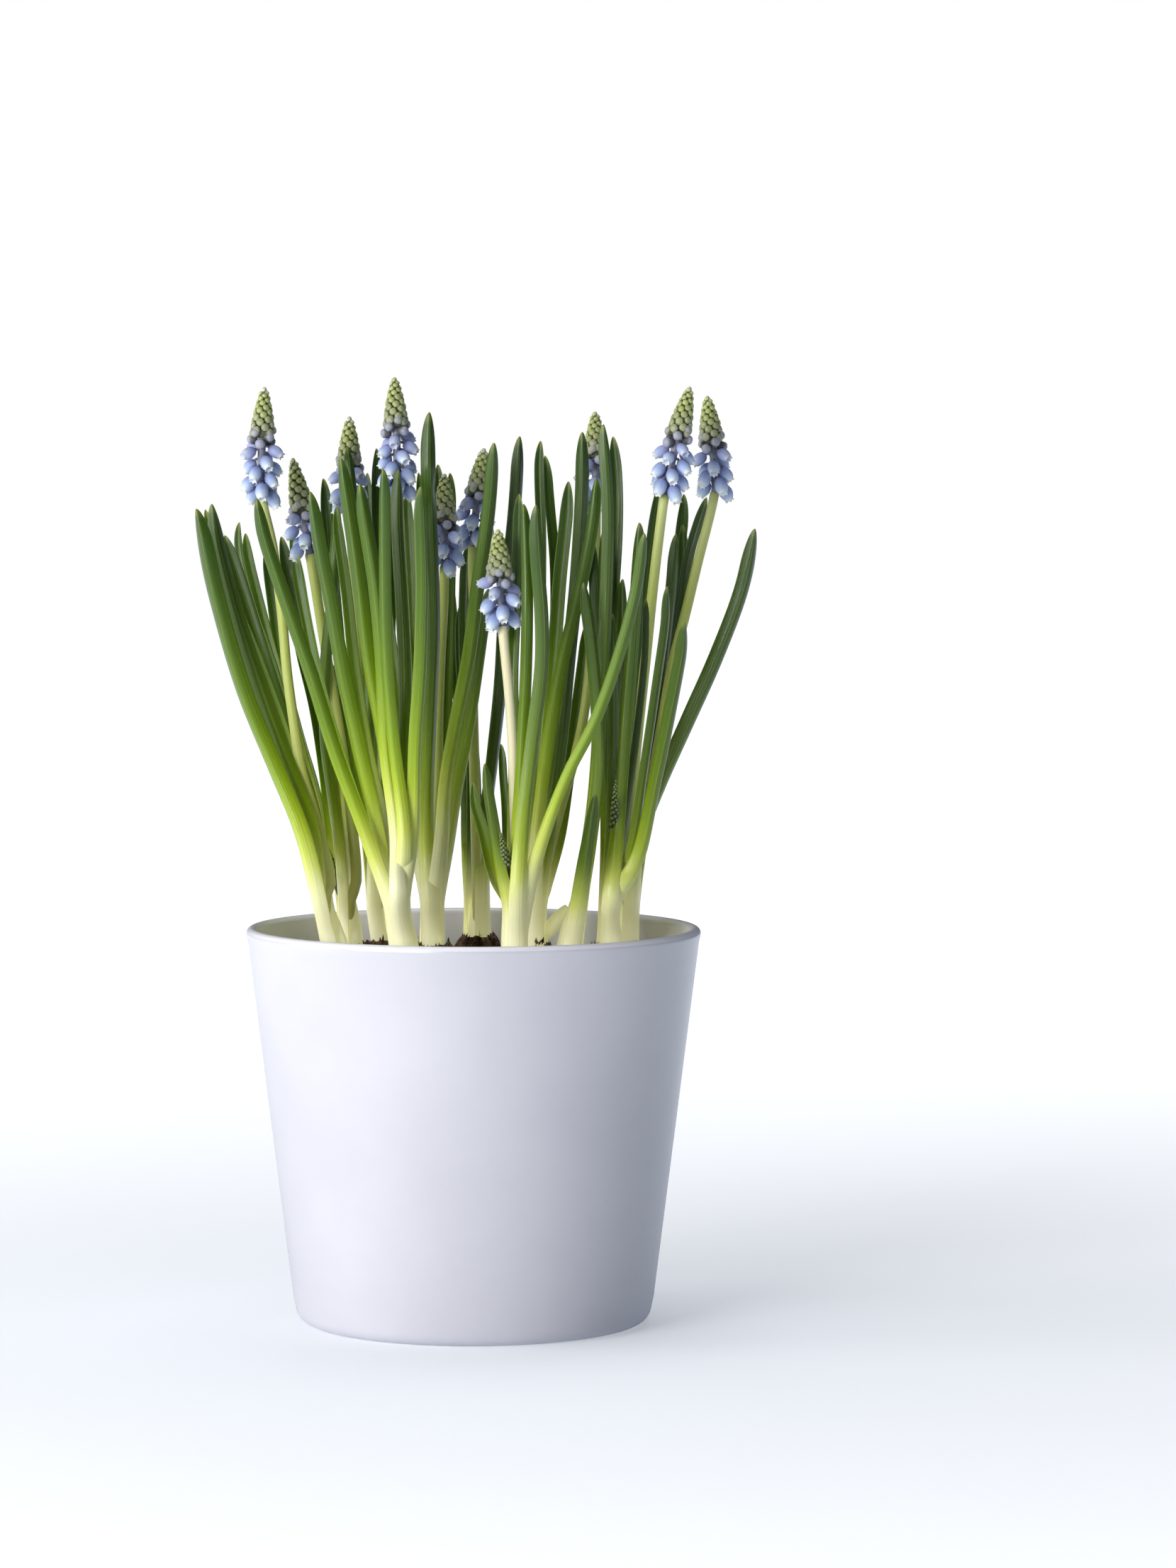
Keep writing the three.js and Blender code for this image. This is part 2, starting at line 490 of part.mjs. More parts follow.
function bell(size, pedicel) {
  const profile = BELL_PROFILE.map(([r, z]) => [r * BELL_RADIUS * size, -z * BELL_LENGTH * size]);
  return lathe([[0, pedicel], ...profile].reverse(), 5);
}

function budCone(height, radius) {
  const profile = [[0, -1.2]];
  for (let row = 0; row <= BUD_ROWS; row++) {
    const t = row / BUD_ROWS;
    profile.push([radius * (1 - 0.72 * Math.pow(t, 1.15)), 0.93 * height * t]);
  }
  profile.push([0, height]);
  const cone = lathe(profile, BUD_COLUMNS);
  const places = cone.attributes.position;
  for (let i = 0; i < places.count; i++) {
    const row = Math.round((places.getZ(i) / (0.93 * height)) * BUD_ROWS);
    const turn = Math.atan2(places.getY(i), places.getX(i)) / (2 * Math.PI);
    const column = Math.round(BUD_COLUMNS * (turn + 1));
    if (Math.hypot(places.getX(i), places.getY(i)) < 0.01) continue;
    const swell = (row + column) % 2 ? 1.1 : 0.84;
    places.setX(i, places.getX(i) * swell);
    places.setY(i, places.getY(i) * swell);
  }
  return cone;
}

function raceme(number) {
  const strand = stalkOf(number);
  const curve = middleLine(strand);
  const length = curve.getLength();
  const tipZ = strand.line[strand.line.length - 1][1];
  const from = 1 - (tipZ - strand.bellsFrom) / length;
  const coneAt = 1 - (tipZ - strand.coneFrom) / length;
  const up = curve.getTangentAt(0.5 * (coneAt + 1));
  const upright = new THREE.Quaternion().setFromUnitVectors(new THREE.Vector3(0, 0, 1), up);
  const base = curve.getPointAt(coneAt);
  const tip = curve.getPointAt(1);
  const cone = budCone(base.distanceTo(tip), BUD_CONE_RADIUS);
  cone.applyQuaternion(upright).translate(base.x, base.y, base.z);
  const inner = [0, 1, 2, 3, 4].map((i) => curve.getPointAt(from + CORE_GAP + ((coneAt - from) * i) / 4));
  const pieces = [solidOf(cone), round(new THREE.CatmullRomCurve3(inner), [1.6, 1.5, 1.4], 6)];
  for (let i = 0; i < BELLS_PER_HEAD; i++) {
    const t = (i + 0.6) / BELLS_PER_HEAD;
    const place = curve.getPointAt(from + (coneAt - from) * (0.13 + 0.83 * t));
    const turn = 2.4 * i + 1.3 * number;
    const size = 1.12 - 0.36 * t;
    const away = new THREE.Vector3(Math.cos(turn), Math.sin(turn), 0);
    const hang = new THREE.Vector3(away.x, away.y, -0.85 + 0.65 * t).normalize();
    const droop = new THREE.Quaternion().setFromUnitVectors(new THREE.Vector3(0, 0, -1), hang);
    const pedicel = 3.7 - 1.1 * t;
    const top = place.clone().addScaledVector(hang, pedicel - 0.4);
    pieces.push(solidOf(bell(size, pedicel).applyQuaternion(droop).translate(top.x, top.y, top.z)));
  }
  return joined(pieces);
}

// ---- The pot of plants -----------------------------------------------------------------------------
const group = new THREE.Group();
function add(name, geometry, material) {
  const mesh = new THREE.Mesh(geometry, material);
  mesh.name = name;
  group.add(mesh);
}

add('pot', lathe(potProfile(), POT_SIDES), GLAZE);
add('soil', geometryOf(soil()), SOIL);
PLANTS.forEach((plant, i) => {
  add(`bulb_${i + 1}`, geometryOf(bulb(i)), TUNIC);
  add(`leaves_${i + 1}`, geometryOf(tuft(i)), LEAF);
  if (!plant.stalk) return;
  add(`stalk_${i + 1}`, geometryOf(stalkSolid(i, 0)), STALK);
  add(`raceme_${i + 1}`, geometryOf(raceme(i)), BLOOM);
});

export default group;
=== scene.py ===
# %% [markdown]
# A pot of grape hyacinths. Eleven bulbs stand in one plain glazed pot, and each sends up a tuft of narrow,
# channelled leaves and, on most, a leafless stalk with its spike of small hanging bells.
# The solids that were packed as the frame fix where everything is. Each of them is replaced here by a finer
# piece on the same lines, so this lesson is about dressing simple forms: bending, spinning and colouring.

# %% The frame and the libraries
import math
import random

import bmesh
import bpy
import numpy as np
from mathutils import Matrix, Vector, noise


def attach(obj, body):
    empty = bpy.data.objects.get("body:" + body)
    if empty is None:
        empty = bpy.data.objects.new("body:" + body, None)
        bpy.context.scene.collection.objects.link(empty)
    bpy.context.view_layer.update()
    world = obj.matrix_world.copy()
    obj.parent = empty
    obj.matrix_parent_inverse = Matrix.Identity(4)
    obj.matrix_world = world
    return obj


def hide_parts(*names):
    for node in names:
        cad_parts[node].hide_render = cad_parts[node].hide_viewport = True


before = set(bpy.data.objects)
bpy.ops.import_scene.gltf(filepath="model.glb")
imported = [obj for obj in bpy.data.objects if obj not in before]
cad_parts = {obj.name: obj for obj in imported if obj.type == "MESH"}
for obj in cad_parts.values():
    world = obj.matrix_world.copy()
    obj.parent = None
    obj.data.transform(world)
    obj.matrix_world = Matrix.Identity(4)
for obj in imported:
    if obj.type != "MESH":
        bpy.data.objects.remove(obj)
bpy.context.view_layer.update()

print("frame nodes:", len(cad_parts))

# %% [markdown]
# Everything is drawn in millimetres, which suit a plant's sizes, and each finished mesh is scaled to metres
# once. These are the sizes that more than one piece needs. The solids use the same ones, so a fine piece
# lands where its solid is.

# %% Sizes that the pieces share
MM = 0.001
POT_HEIGHT = 122.0
POT_RIM_RADIUS = 70.0
POT_FOOT_RADIUS = 54.7
POT_WALL = 3.7
POT_FLOOR = 5.0
SOIL_TOP = 106.0
BULB_NECK_TOP = 112.5
SHEATH_BOTTOM = 104.0
SHEATH_TOP = 132.0
LEAF_BOTTOM = 118.6
ROOT_OFFSET = 2.5
STALK_RADIUS = 1.7
STALK_BOTTOM = 115.0
VIEW_DISTANCE = 1763.0
VIEW_HEIGHT = 278.0
print("pot", 2 * POT_RIM_RADIUS, "mm wide and", POT_HEIGHT, "mm high")

# %% [markdown]
# Each plant is drawn as a florist would sketch it from the front. "at" is where the bulb stands,
# "sheath" where its leaf sheath ends above it. A leaf is its width, how far back or forward its tip
# leans, and then points of its middle line as x, z pairs. A stalk starts with the depth of its head.
# The head is the tip's x and z and the length of its cone of closed buds. A young spike is its plant, the
# depth of its tip, and the x and z of its foot and of its tip.

# %% The eleven plants, drawn from the front
PLANTS = [
    {"at": [-39.5, -14], "sheath": -46.2, "leaves": [
        [5.8, -24, -53, 150, -61, 170, -71.2, 195, -79.7, 225, -83.2, 242, -85, 250.5],
        [5.2, -14, -50, 150, -58, 175, -66.8, 200, -73.2, 220, -78.2, 240, -80.2, 252],
        [3.0, -6, -49.5, 155, -57, 180, -66, 205, -75.5, 228, -82.2, 250.3],
        [4.4, 4, -49, 155, -56, 178, -64, 203, -70.7, 225, -76.3, 242.4],
        [3.4, 12, -48.5, 155, -54.5, 178, -61.5, 203, -68, 222, -71.5, 238, -71.7, 246.4],
        [3.2, 20, -48.3, 157, -54, 180, -60.8, 203, -66.5, 225, -69.2, 237, -69.9, 243],
        [3.4, 28, -48, 160, -53.5, 180, -58.5, 200, -61.8, 222, -63.8, 238],
    ], "stalk": [-4, -44, 135, -48.5, 155, -52.8, 170, -55.2, 185, -57.2, 200, -59, 220, -61.8, 240,
                  -64.8, 254],
        "head": [-64, 287.5, 15]},
    {"at": [-37, 8], "sheath": -38, "leaves": [
        [4.6, 24, -43.5, 150, -46.2, 172, -49, 190, -53, 207, -56.3, 226, -59, 242],
        [2.8, 16, -40, 150, -42.5, 175, -46.7, 195, -50.5, 212, -54, 230, -55.5, 245],
        [3.6, 6, -42, 150, -45.4, 178, -45.6, 200, -43.6, 222, -42.3, 240, -41.7, 251.2],
        [4.2, 12, -41.5, 145, -43.6, 165, -44, 185, -42.5, 203],
    ], "stalk": [10, -36.2, 135, -37.5, 155, -40, 175, -43.3, 195, -46.2, 212, -48.4, 226, -50.2, 237],
        "head": [-55.4, 265.8, 17]},
    {"at": [-26, 30], "sheath": -30, "leaves": [
        [4.4, 34, -33.5, 150, -37.5, 172, -40.7, 198, -42.9, 222, -45, 245, -46.1, 259.8],
        [3.4, 26, -31, 150, -32, 175, -32, 210, -34.4, 235, -37.4, 258, -38.6, 269.8],
        [3.0, 48, -29.5, 150, -29.5, 185, -30.6, 220, -31.6, 248, -32.5, 261.5],
        [3.2, 52, -28, 150, -26.5, 185, -25.5, 220, -25.2, 250, -26.4, 265.3],
    ], "stalk": [30, -29.5, 135, -30.5, 155, -33, 180, -35.6, 215, -37.4, 240, -38, 252],
        "head": [-38, 278.5, 15]},
    {"at": [-19.5, -25], "sheath": -24, "leaves": [
        [4.4, -40, -33.2, 150, -42.4, 175, -50.2, 200, -58.8, 225, -64.6, 243, -66.5, 253.6],
        [5.0, -34, -29.8, 150, -36.2, 180, -40.5, 200, -44, 220, -47.8, 240, -50.2, 255.8],
        [2.8, -14, -31.5, 148, -39, 172, -45, 192, -50, 215, -53.5, 236],
        [4.8, -30, -24, 150, -28.2, 180, -32.6, 205, -35.6, 230, -38.8, 253, -40.7, 266],
        [3.8, -20, -27, 150, -32.4, 177, -36, 200, -38.6, 225, -41, 243, -41.9, 251.2],
        [4.6, -36, -23.5, 150, -26.6, 175, -27.8, 203, -30.2, 228, -33.5, 248, -34.9, 258.2],
        [4.2, -44, -21.5, 150, -24.8, 178, -27, 205, -27.6, 230, -27.7, 252, -27.8, 262.8],
        [4.6, -48, -18.4, 150, -17.5, 178, -15.8, 203, -15.2, 228, -15.8, 247, -16.1, 257.4],
    ], "stalk": [4, -21.5, 140, -20.5, 160, -20.2, 185, -21, 215, -22.4, 240, -23, 254],
        "head": [-24.2, 290.5, 15]},
    {"at": [-12.5, 16], "sheath": -12.6, "leaves": [
        [4.2, 4, -19.2, 155, -19.6, 180, -20, 205, -22, 225, -23.2, 248, -22.9, 263],
        [5.0, -6, -14.5, 150, -13.2, 185, -12, 215, -12.8, 240, -13.6, 264, -13.5, 280.1],
        [3.6, 34, -9.3, 150, -8.6, 185, -7.7, 215, -7.2, 245, -7.2, 261.5],
        [4.4, -16, -9.8, 148, -8.4, 166, -5.2, 185, -1.3, 205, 1.3, 226, 4.6, 249, 6.3, 270.7],
        [4.2, 0, -7.6, 148, -4.6, 168, -0.7, 190, 2.6, 212, 4.6, 226],
        [4.0, 34, -18.6, 155, -22.4, 185, -26.4, 215, -29.4, 245, -29.8, 269],
        [3.8, 44, -17.5, 160, -18, 195, -18.6, 230, -19.6, 247, -20.2, 256],
        [2.6, 52, -15.6, 160, -15.8, 200, -16.6, 240, -16.9, 261.6],
    ], "stalk": [18, -11.5, 135, -11, 160, -10.9, 185, -10, 207, -9.1, 222, -9, 233],
        "head": [-8.9, 261, 15]},
    {"at": [1.5, 42], "sheath": 1.2, "leaves": [
        [4.6, 46, 0, 150, 0, 172, -1.6, 195, -2.2, 215, -1.9, 230, -1.5, 240],
        [3.8, 54, -2.2, 150, -2.5, 172, -3.7, 195, -4.4, 210, -4.3, 220.5],
        [4.4, 36, 3.5, 150, 6, 172, 8.6, 197, 10, 222, 12.8, 250, 14.2, 272.7],
        [3.8, 58, -1.5, 150, -4, 185, -7, 220, -10, 248, -10.9, 264.1],
    ], "stalk": [26, 1, 140, 0.4, 165, -0.2, 195, 0, 220, -0.2, 239],
        "head": [3.2, 268.8, 14]},
    {"at": [12.5, -28], "sheath": 12.6, "leaves": [
        [3.6, -22, 12.5, 155, 12.7, 180, 12.3, 200, 13.1, 220, 13.8, 243, 14, 255.1],
        [3.8, -34, 13.6, 152, 14.7, 178, 15.8, 200, 16.2, 222, 15.9, 240, 15.3, 252],
        [4.6, -42, 15, 150, 18.6, 180, 21.3, 202, 21.3, 217, 19.6, 239, 19.2, 251.7],
        [3.6, -54, 16.4, 132, 21.7, 150, 29.5, 170, 37.2, 185, 44.4, 205, 49.7, 225, 52.4, 243],
        [3.6, -36, 8, 140, 5.6, 155, 4.2, 164, 3.4, 172.3],
        [3.2, -26, 6, 137, 2.8, 152, 0.6, 160, 0, 166.4],
        [2.8, -14, 10.8, 142, 9.8, 158, 8.9, 168, 8.4, 178.3],
    ], "stalk": [-30, 13, 135, 12.8, 150, 12.5, 165, 11.9, 180, 10.8, 195, 9.4, 209, 8.8, 216],
        "head": [7.5, 244, 14]},
    {"at": [18, 10], "sheath": 18.4, "leaves": [
        [3.4, 18, 19, 155, 20.6, 185, 20.9, 215, 21, 243, 20.3, 262, 20.6, 271.3],
        [3.6, 26, 19.6, 155, 22, 180, 24.4, 210, 24.6, 232, 22.9, 253, 21.8, 266.8],
        [4.4, 12, 20.4, 150, 23, 180, 24.9, 205, 26.6, 230, 28.6, 250, 29.1, 258.9],
        [4.4, -4, 23, 150, 26.8, 180, 29.2, 205, 31.6, 228, 33.2, 256, 33.3, 274],
        [4.2, -16, 19.4, 150, 22.8, 180, 27.3, 205, 32.2, 225, 36.2, 246, 37.6, 260.1],
        [4.4, 24, 26.6, 150, 29.6, 169, 32.4, 190, 34.6, 207, 35.6, 217],
        [2.0, -8, 23.4, 121, 26.4, 124.5, 29.5, 127.6],
    ], "stalk": [30, 20.5, 135, 26.5, 158, 33, 182, 36, 207, 37.2, 232, 37.5, 252],
        "head": [37.2, 280, 14]},
    {"at": [27.5, -14], "sheath": 31.8, "leaves": [
        [4.2, -17, 36.6, 150, 38.4, 170, 39.6, 197, 41, 225, 41.5, 252, 39.8, 276.4],
        [3.8, 6, 35.6, 150, 37.2, 170, 38.4, 200, 39.3, 228, 39.7, 244],
        [4.2, -24, 36.4, 148, 38.8, 170, 38.2, 190, 36, 213, 33.8, 228],
        [3.4, -30, 34.2, 142, 35.8, 152, 37.4, 163],
    ]},
    {"at": [41, -2], "sheath": 41.2, "leaves": [
        [4.0, 10, 41.3, 152, 41, 180, 41.6, 210, 43.6, 240, 43.8, 257, 42.7, 272.6],
        [4.0, -10, 41.4, 150, 40.1, 182, 38.4, 212, 37.4, 230, 37.1, 239.6],
        [4.4, -22, 43.9, 150, 45.8, 178, 48.2, 208, 50, 232, 50.8, 246.3],
        [3.8, 20, 42.6, 152, 44.6, 185, 45.8, 212, 45.8, 229],
        [3.4, -16, 42.4, 150, 43, 180, 43, 203, 42.6, 218.3],
        [4.2, 14, 46, 145, 48.6, 172, 51.3, 205, 53.6, 235, 56.4, 257],
        [3.4, -34, 48.6, 145, 53, 172, 56.8, 198, 59.3, 217, 59.5, 226.8],
        [2.6, -12, 45.6, 150, 49.6, 180, 52.2, 205, 52.6, 223],
        [4.2, -40, 50.6, 143, 56, 167, 60.8, 190, 64, 207, 64.7, 215.6],
    ], "stalk": [-4, 45, 135, 47.8, 155, 50.5, 182, 52.9, 205, 55, 226, 57.2, 245, 58.6, 255],
        "head": [66.2, 287.6, 15]},
    {"at": [46, 22], "sheath": 47.4, "leaves": [
        [4.4, 44, 51.5, 150, 56, 178, 59.8, 207, 62.4, 235, 64.4, 255],
        [4.2, 22, 51, 150, 55, 176, 59, 206, 61.4, 230, 62.2, 242.9],
        [3.8, 36, 51.3, 150, 56.4, 180, 60.8, 207, 64.2, 233, 64.2, 245.6],
        [3.4, 30, 52, 150, 58, 180, 62, 210, 66, 236, 71.4, 254],
        [5.0, 8, 51, 148, 57.3, 165, 66, 185, 74.8, 205, 82.3, 225, 85.3, 238, 86.3, 244.4],
    ], "stalk": [18, 50, 145, 56.4, 176, 61.2, 203, 65.2, 219, 69, 235, 72.8, 250, 74, 256],
        "head": [71.5, 284.8, 14]},
]

YOUNG_SPIKES = [(1, 7, -41, 132, -48, 153.4), (6, -37, 12.4, 132, 8.3, 151), (9, -22, 42.6, 140, 43.8, 167)]
print("leaves:", sum(len(plant["leaves"]) for plant in PLANTS))

# %% [markdown]
# A leaf or stalk follows one smooth line through its drawn points. Blender has curve objects for this, but
# the settling below has to read places and directions from the line many times, so the line is a few lines
# of numpy: a centripetal Catmull-Rom spline, which passes through every point and never loops.

# %% A smooth line through points
class Line:
    """A smooth curve through points, read by the share of its length, from 0 to 1."""

    def __init__(self, points):
        self.points = np.array(points, float)
        self.steps = np.linspace(0, 1, 201)
        gaps = np.linalg.norm(np.diff(self.at_step(self.steps), axis=0), axis=1)
        self.walked = np.concatenate([[0], np.cumsum(gaps)])
        self.length = self.walked[-1]

    def at_step(self, step):
        last = len(self.points) - 1
        spot = np.atleast_1d(step) * last
        first = np.minimum(spot.astype(int), last - 1)
        w = (spot - first)[:, None]
        ends = [2 * self.points[0] - self.points[1]], [2 * self.points[-1] - self.points[-2]]
        around = np.vstack([ends[0], self.points, ends[1]])
        p0, p1, p2, p3 = (around[first + k] for k in range(4))
        pairs = (p0, p1), (p1, p2), (p2, p3)
        d0, d1, d2 = (np.sqrt(np.linalg.norm(b - a, axis=1))[:, None] for a, b in pairs)
        m1 = ((p1 - p0) / d0 - (p2 - p0) / (d0 + d1) + (p2 - p1) / d1) * d1
        m2 = ((p2 - p1) / d1 - (p3 - p1) / (d1 + d2) + (p3 - p2) / d2) * d1
        return p1 + m1 * w + (3 * (p2 - p1) - 2 * m1 - m2) * w**2 + (2 * (p1 - p2) + m1 + m2) * w**3

    def step_at(self, share):
        return np.interp(np.atleast_1d(share) * self.length, self.walked, self.steps)

    def place(self, share):
        return self.at_step(self.step_at(share))

    def along(self, share):
        step = self.step_at(share)
        ahead = self.at_step(np.minimum(step + 1e-4, 1)) - self.at_step(np.maximum(step - 1e-4, 0))
        return ahead / np.linalg.norm(ahead, axis=1)[:, None]


def stand(x, z, y):
    """A drawn point moved to depth y along the line of sight, so that it still looks drawn at x, z."""
    spread = (VIEW_DISTANCE + y) / VIEW_DISTANCE
    return (x * spread, y, VIEW_HEIGHT + (z - VIEW_HEIGHT) * spread)


print("a line of 100 mm measures", round(Line([(0, 0, 0), (0, 0, 60), (0, 0, 100)]).length, 3))

# %% [markdown]
# The drawing says nothing of which leaf passes in front of which. Every leaf, stalk and head, here called a
# strand, is cut into levels 6 mm apart. It fans out from its bulb to the depth of its tip, which is its aim.

# %% The strands before they settle
LEVEL = 6.0
LEVELS_FROM = 108.0


def across_at(points, z):
    """The x of a drawn line at a height."""
    i = 1
    while i < len(points) - 1 and points[i][1] < z:
        i += 1
    (x0, z0), (x1, z1) = points[i - 1], points[i]
    return x0 + (x1 - x0) * min(max((z - z0) / (z1 - z0), 0), 1)


def make_strand(plant, kind, width, tip_depth, drawn):
    """A drawn line from its bulb up, with its x, its depth and the depth that it aims for at each level."""
    (bulb_x, bulb_y), sheath = PLANTS[plant]["at"], PLANTS[plant]["sheath"]
    core = [(bulb_x, SHEATH_BOTTOM), (sheath, SHEATH_TOP)]
    way = Vector((drawn[0][0] - sheath, 0.35 * (tip_depth - bulb_y) + 0.1)).normalized()
    way *= ROOT_OFFSET if kind == "leaf" else 0
    rise = (LEAF_BOTTOM, SHEATH_TOP - 4) if kind == "leaf" else (STALK_BOTTOM, SHEATH_TOP - 2)
    roots = [(across_at(core, z) + way.x, z) for z in rise]
    line = (roots[:1] if drawn[0][1] < SHEATH_TOP + 1 else roots) + drawn
    count = max(3, math.floor((line[-1][1] - LEVELS_FROM) / LEVEL + 0.5))
    z = LEVELS_FROM + LEVEL * np.arange(count + 1)
    out = np.maximum(np.arange(count + 1) - 3, 0) / max(count - 3, 1)
    aim = bulb_y + way.y + (tip_depth - bulb_y - way.y) * out**0.95
    return {"plant": plant, "kind": kind, "width": width, "line": line, "z": z, "aim": aim, "y": list(aim),
            "x": [across_at(line, height) for height in z]}


def paired(numbers):
    return list(zip(numbers[::2], numbers[1::2]))


strands = []
for number, plant in enumerate(PLANTS):
    for width, depth, *drawn in plant["leaves"]:
        strands.append(make_strand(number, "leaf", width, depth, paired(drawn)))
    if "stalk" in plant:
        depth, *drawn = plant["stalk"]
        tip_x, tip_z, cone = plant["head"]
        stalk = make_strand(number, "stalk", 2 * STALK_RADIUS, depth, paired(drawn) + [(tip_x, tip_z)])
        stalk.update(bells_from=drawn[-1] - 1, cone_from=tip_z - cone, tip_z=tip_z)
        strands.append(stalk)
print("strands:", len(strands))

# %% [markdown]
# Where two strands would cross at a level they push each other apart, to the front and the back only, so the
# front view stays as it was drawn. A cloth or rigid body simulation could do this too, but a short loop is
# enough and gives the same result each time. First it finds every level at which two strands could touch.

# %% How near the strands may come
HEAD_RADIUS = 8.2
CONE_RADIUS = 4.4
CLEARANCE = 0.9


def room(strand, z):
    """How far a strand reaches sideways and in depth at a height."""
    if strand["kind"] == "leaf":
        return strand["width"] / 2 + 0.3, 0.42 * strand["width"]
    if z < strand["bells_from"] - 3:
        return STALK_RADIUS + 0.3, STALK_RADIUS + 0.2
    return (CONE_RADIUS, CONE_RADIUS) if z > strand["cone_from"] + 2 else (HEAD_RADIUS, HEAD_RADIUS)


def contacts():
    """Every level at which two strands could touch, with the depth that they need between them."""
    found = []
    for a, one in enumerate(strands):
        for b in range(a + 1, len(strands)):
            two = strands[b]
            for k in range(4 if one["plant"] == two["plant"] else 2, min(len(one["z"]), len(two["z"]))):
                (across_a, deep_a), (across_b, deep_b) = room(one, one["z"][k]), room(two, two["z"][k])
                side = abs(one["x"][k] - two["x"][k]) / (across_a + across_b)
                if side < 1:
                    need = (deep_a + deep_b + CLEARANCE) * math.sqrt(1 - side**3)
                    found.append((one["y"], two["y"], k, need, give(one), give(two), b % 2 == 0))
    return found


def give(strand):
    """How much of an overlap a strand gives way in one round. A leaf bends more easily than a stalk."""
    return 0.6 * (0.5 if strand["kind"] == "leaf" else 0.25)


close = contacts()
print("contacts:", len(close))

# %% [markdown]
# Then the strands give way to each other, round after round. A little smoothing after each round keeps the
# bends soft, and it fades towards the end, so the last word is left to the clearances.

# %% The strands settle
SETTLE_ROUNDS = 400
FIRST_EASE = 0.22
DEPTH_LIMIT = 62.0


def smooth(strand, ease):
    y, last = strand["y"], len(strand["y"]) - 1
    before = list(y)
    for k in range(2, last + 1):
        after = before[k + 1] if k < last else 2 * before[k] - before[k - 1]
        y[k] += ease * (before[k - 1] + after - 2 * before[k]) + 0.15 * ease * (strand["aim"][k] - before[k])
        y[k] = min(max(y[k], -DEPTH_LIMIT), DEPTH_LIMIT)


for turn in range(SETTLE_ROUNDS):
    for p, q, k, need, give_p, give_q, tie in close:
        apart = q[k] - p[k]
        short = need - abs(apart)
        if short > 0:
            way = short if apart > 0 or (apart == 0 and tie) else -short
            p[k] -= way * give_p
            q[k] += way * give_q
    for strand in strands:
        smooth(strand, FIRST_EASE * (1 - turn / SETTLE_ROUNDS))
depths = [y for strand in strands for y in strand["y"]]
print("settled from", round(min(depths)), "to", round(max(depths)), "mm in depth")

# %% [markdown]
# The settled depths and the drawn line together give each strand its middle line in space. One more leaf of
# the fourth plant stands close before its stalk and hides it. It needs no settling, so it is added here.

# %% The settled middle lines
def middle_line(strand):
    drawn = Line([(x, 0, z) for x, z in strand["line"]])
    places = drawn.place(np.linspace(0, 1, 3 * len(strand["line"]) + 1))
    depths = np.interp(places[:, 2], strand["z"], strand["y"])
    return Line([stand(x, z, y) for (x, _, z), y in zip(places, depths)])


for strand in strands:
    strand["curve"] = middle_line(strand)
close_leaf = [(-20.7, 118.6, -27.3), (-22.6, 132, -26.6), (-22.3, 150, -24.6), (-21.1, 175, -20),
              (-20.8, 200, -15.6), (-21.9, 225, -11.6), (-23.1, 248, -8.2), (-22.9, 262.5, -6.6)]
strands.append({"plant": 3, "kind": "leaf", "width": 4.2,
                "curve": Line([stand(*place) for place in close_leaf])})
print("longest leaf:", round(max(s["curve"].length for s in strands if s["kind"] == "leaf")), "mm")

# %% [markdown]
# Most of this plant is tubes: stalks, sheaths and even the leaves, which are tubes pressed into a channel.
# So one plain tube is made with the circle and extrude operators. Two numbers stay with each point, its share
# of the length and its place around, for the colours to use later.

# %% A plain tube
def new_mesh():
    """An empty mesh whose points can carry the four numbers that the finishes read."""
    bm = bmesh.new()
    for name in ("along", "around", "tone", "kind"):
        bm.verts.layers.float.new(name)
    return bm


def tube(sides, rings):
    """A tube of radius 1 from z = 0 to z = 1, which carries along and around on its points."""
    bm = new_mesh()
    bmesh.ops.create_circle(bm, segments=sides, radius=1, cap_ends=False)
    along, around = bm.verts.layers.float["along"], bm.verts.layers.float["around"]
    for vert in bm.verts:
        vert[around] = math.atan2(vert.co.y, vert.co.x) / (2 * math.pi)
    ring = list(bm.edges)
    ends = [ring]
    for k in range(1, rings + 1):
        made = bmesh.ops.extrude_edge_only(bm, edges=ring)["geom"]
        ring = [item for item in made if isinstance(item, bmesh.types.BMEdge)]
        for vert in (item for item in made if isinstance(item, bmesh.types.BMVert)):
            vert.co.z = vert[along] = k / rings
    ends.append(ring)
    bmesh.ops.holes_fill(bm, edges=ends[0] + ends[1], sides=0)
    bmesh.ops.recalc_face_normals(bm, faces=bm.faces)
    return bm


def unit(bm):
    """Keeps a finished shape, so that it can be copied many times."""
    mesh = bpy.data.meshes.new("unit")
    bm.to_mesh(mesh)
    bm.free()
    return mesh


def copy_of(mesh):
    bm = bmesh.new()
    bm.from_mesh(mesh)
    return bm


TUBE = {size: unit(tube(*size)) for size in ((24, 16), (20, 48), (16, 40), (8, 6))}
print("tubes kept, by sides and rings:", list(TUBE))

# %% [markdown]
# Each piece then moves the points of its tube: first across, where x and y are millimetres beside the
# middle line, and then onto that line. A Curve modifier bends a mesh too, but it lets a leaf roll about its
# line, and here the direction that a leaf faces is chosen for every point.

# %% Moving and bending
def places_of(bm):
    return np.array([vert.co for vert in bm.verts], float)


def move_to(bm, places):
    for vert, place in zip(bm.verts, places):
        vert.co = place


def frames(line, shares, outward):
    """Places on a line, with the directions across it and out of it, where out is nearest to outward."""
    along = line.along(shares)
    across = np.cross(np.broadcast_to(outward, along.shape), along)
    across /= np.linalg.norm(across, axis=1)[:, None]
    return line.place(shares), across, np.cross(along, across)


def bend(bm, line, outward=(0, -1, 0)):
    """Carries a straight shape, whose z is a share of the length, onto a line."""
    x, y, z = places_of(bm).T
    place, across, out = frames(line, np.clip(z, 0, 1), outward)
    move_to(bm, place + across * x[:, None] + out * y[:, None])


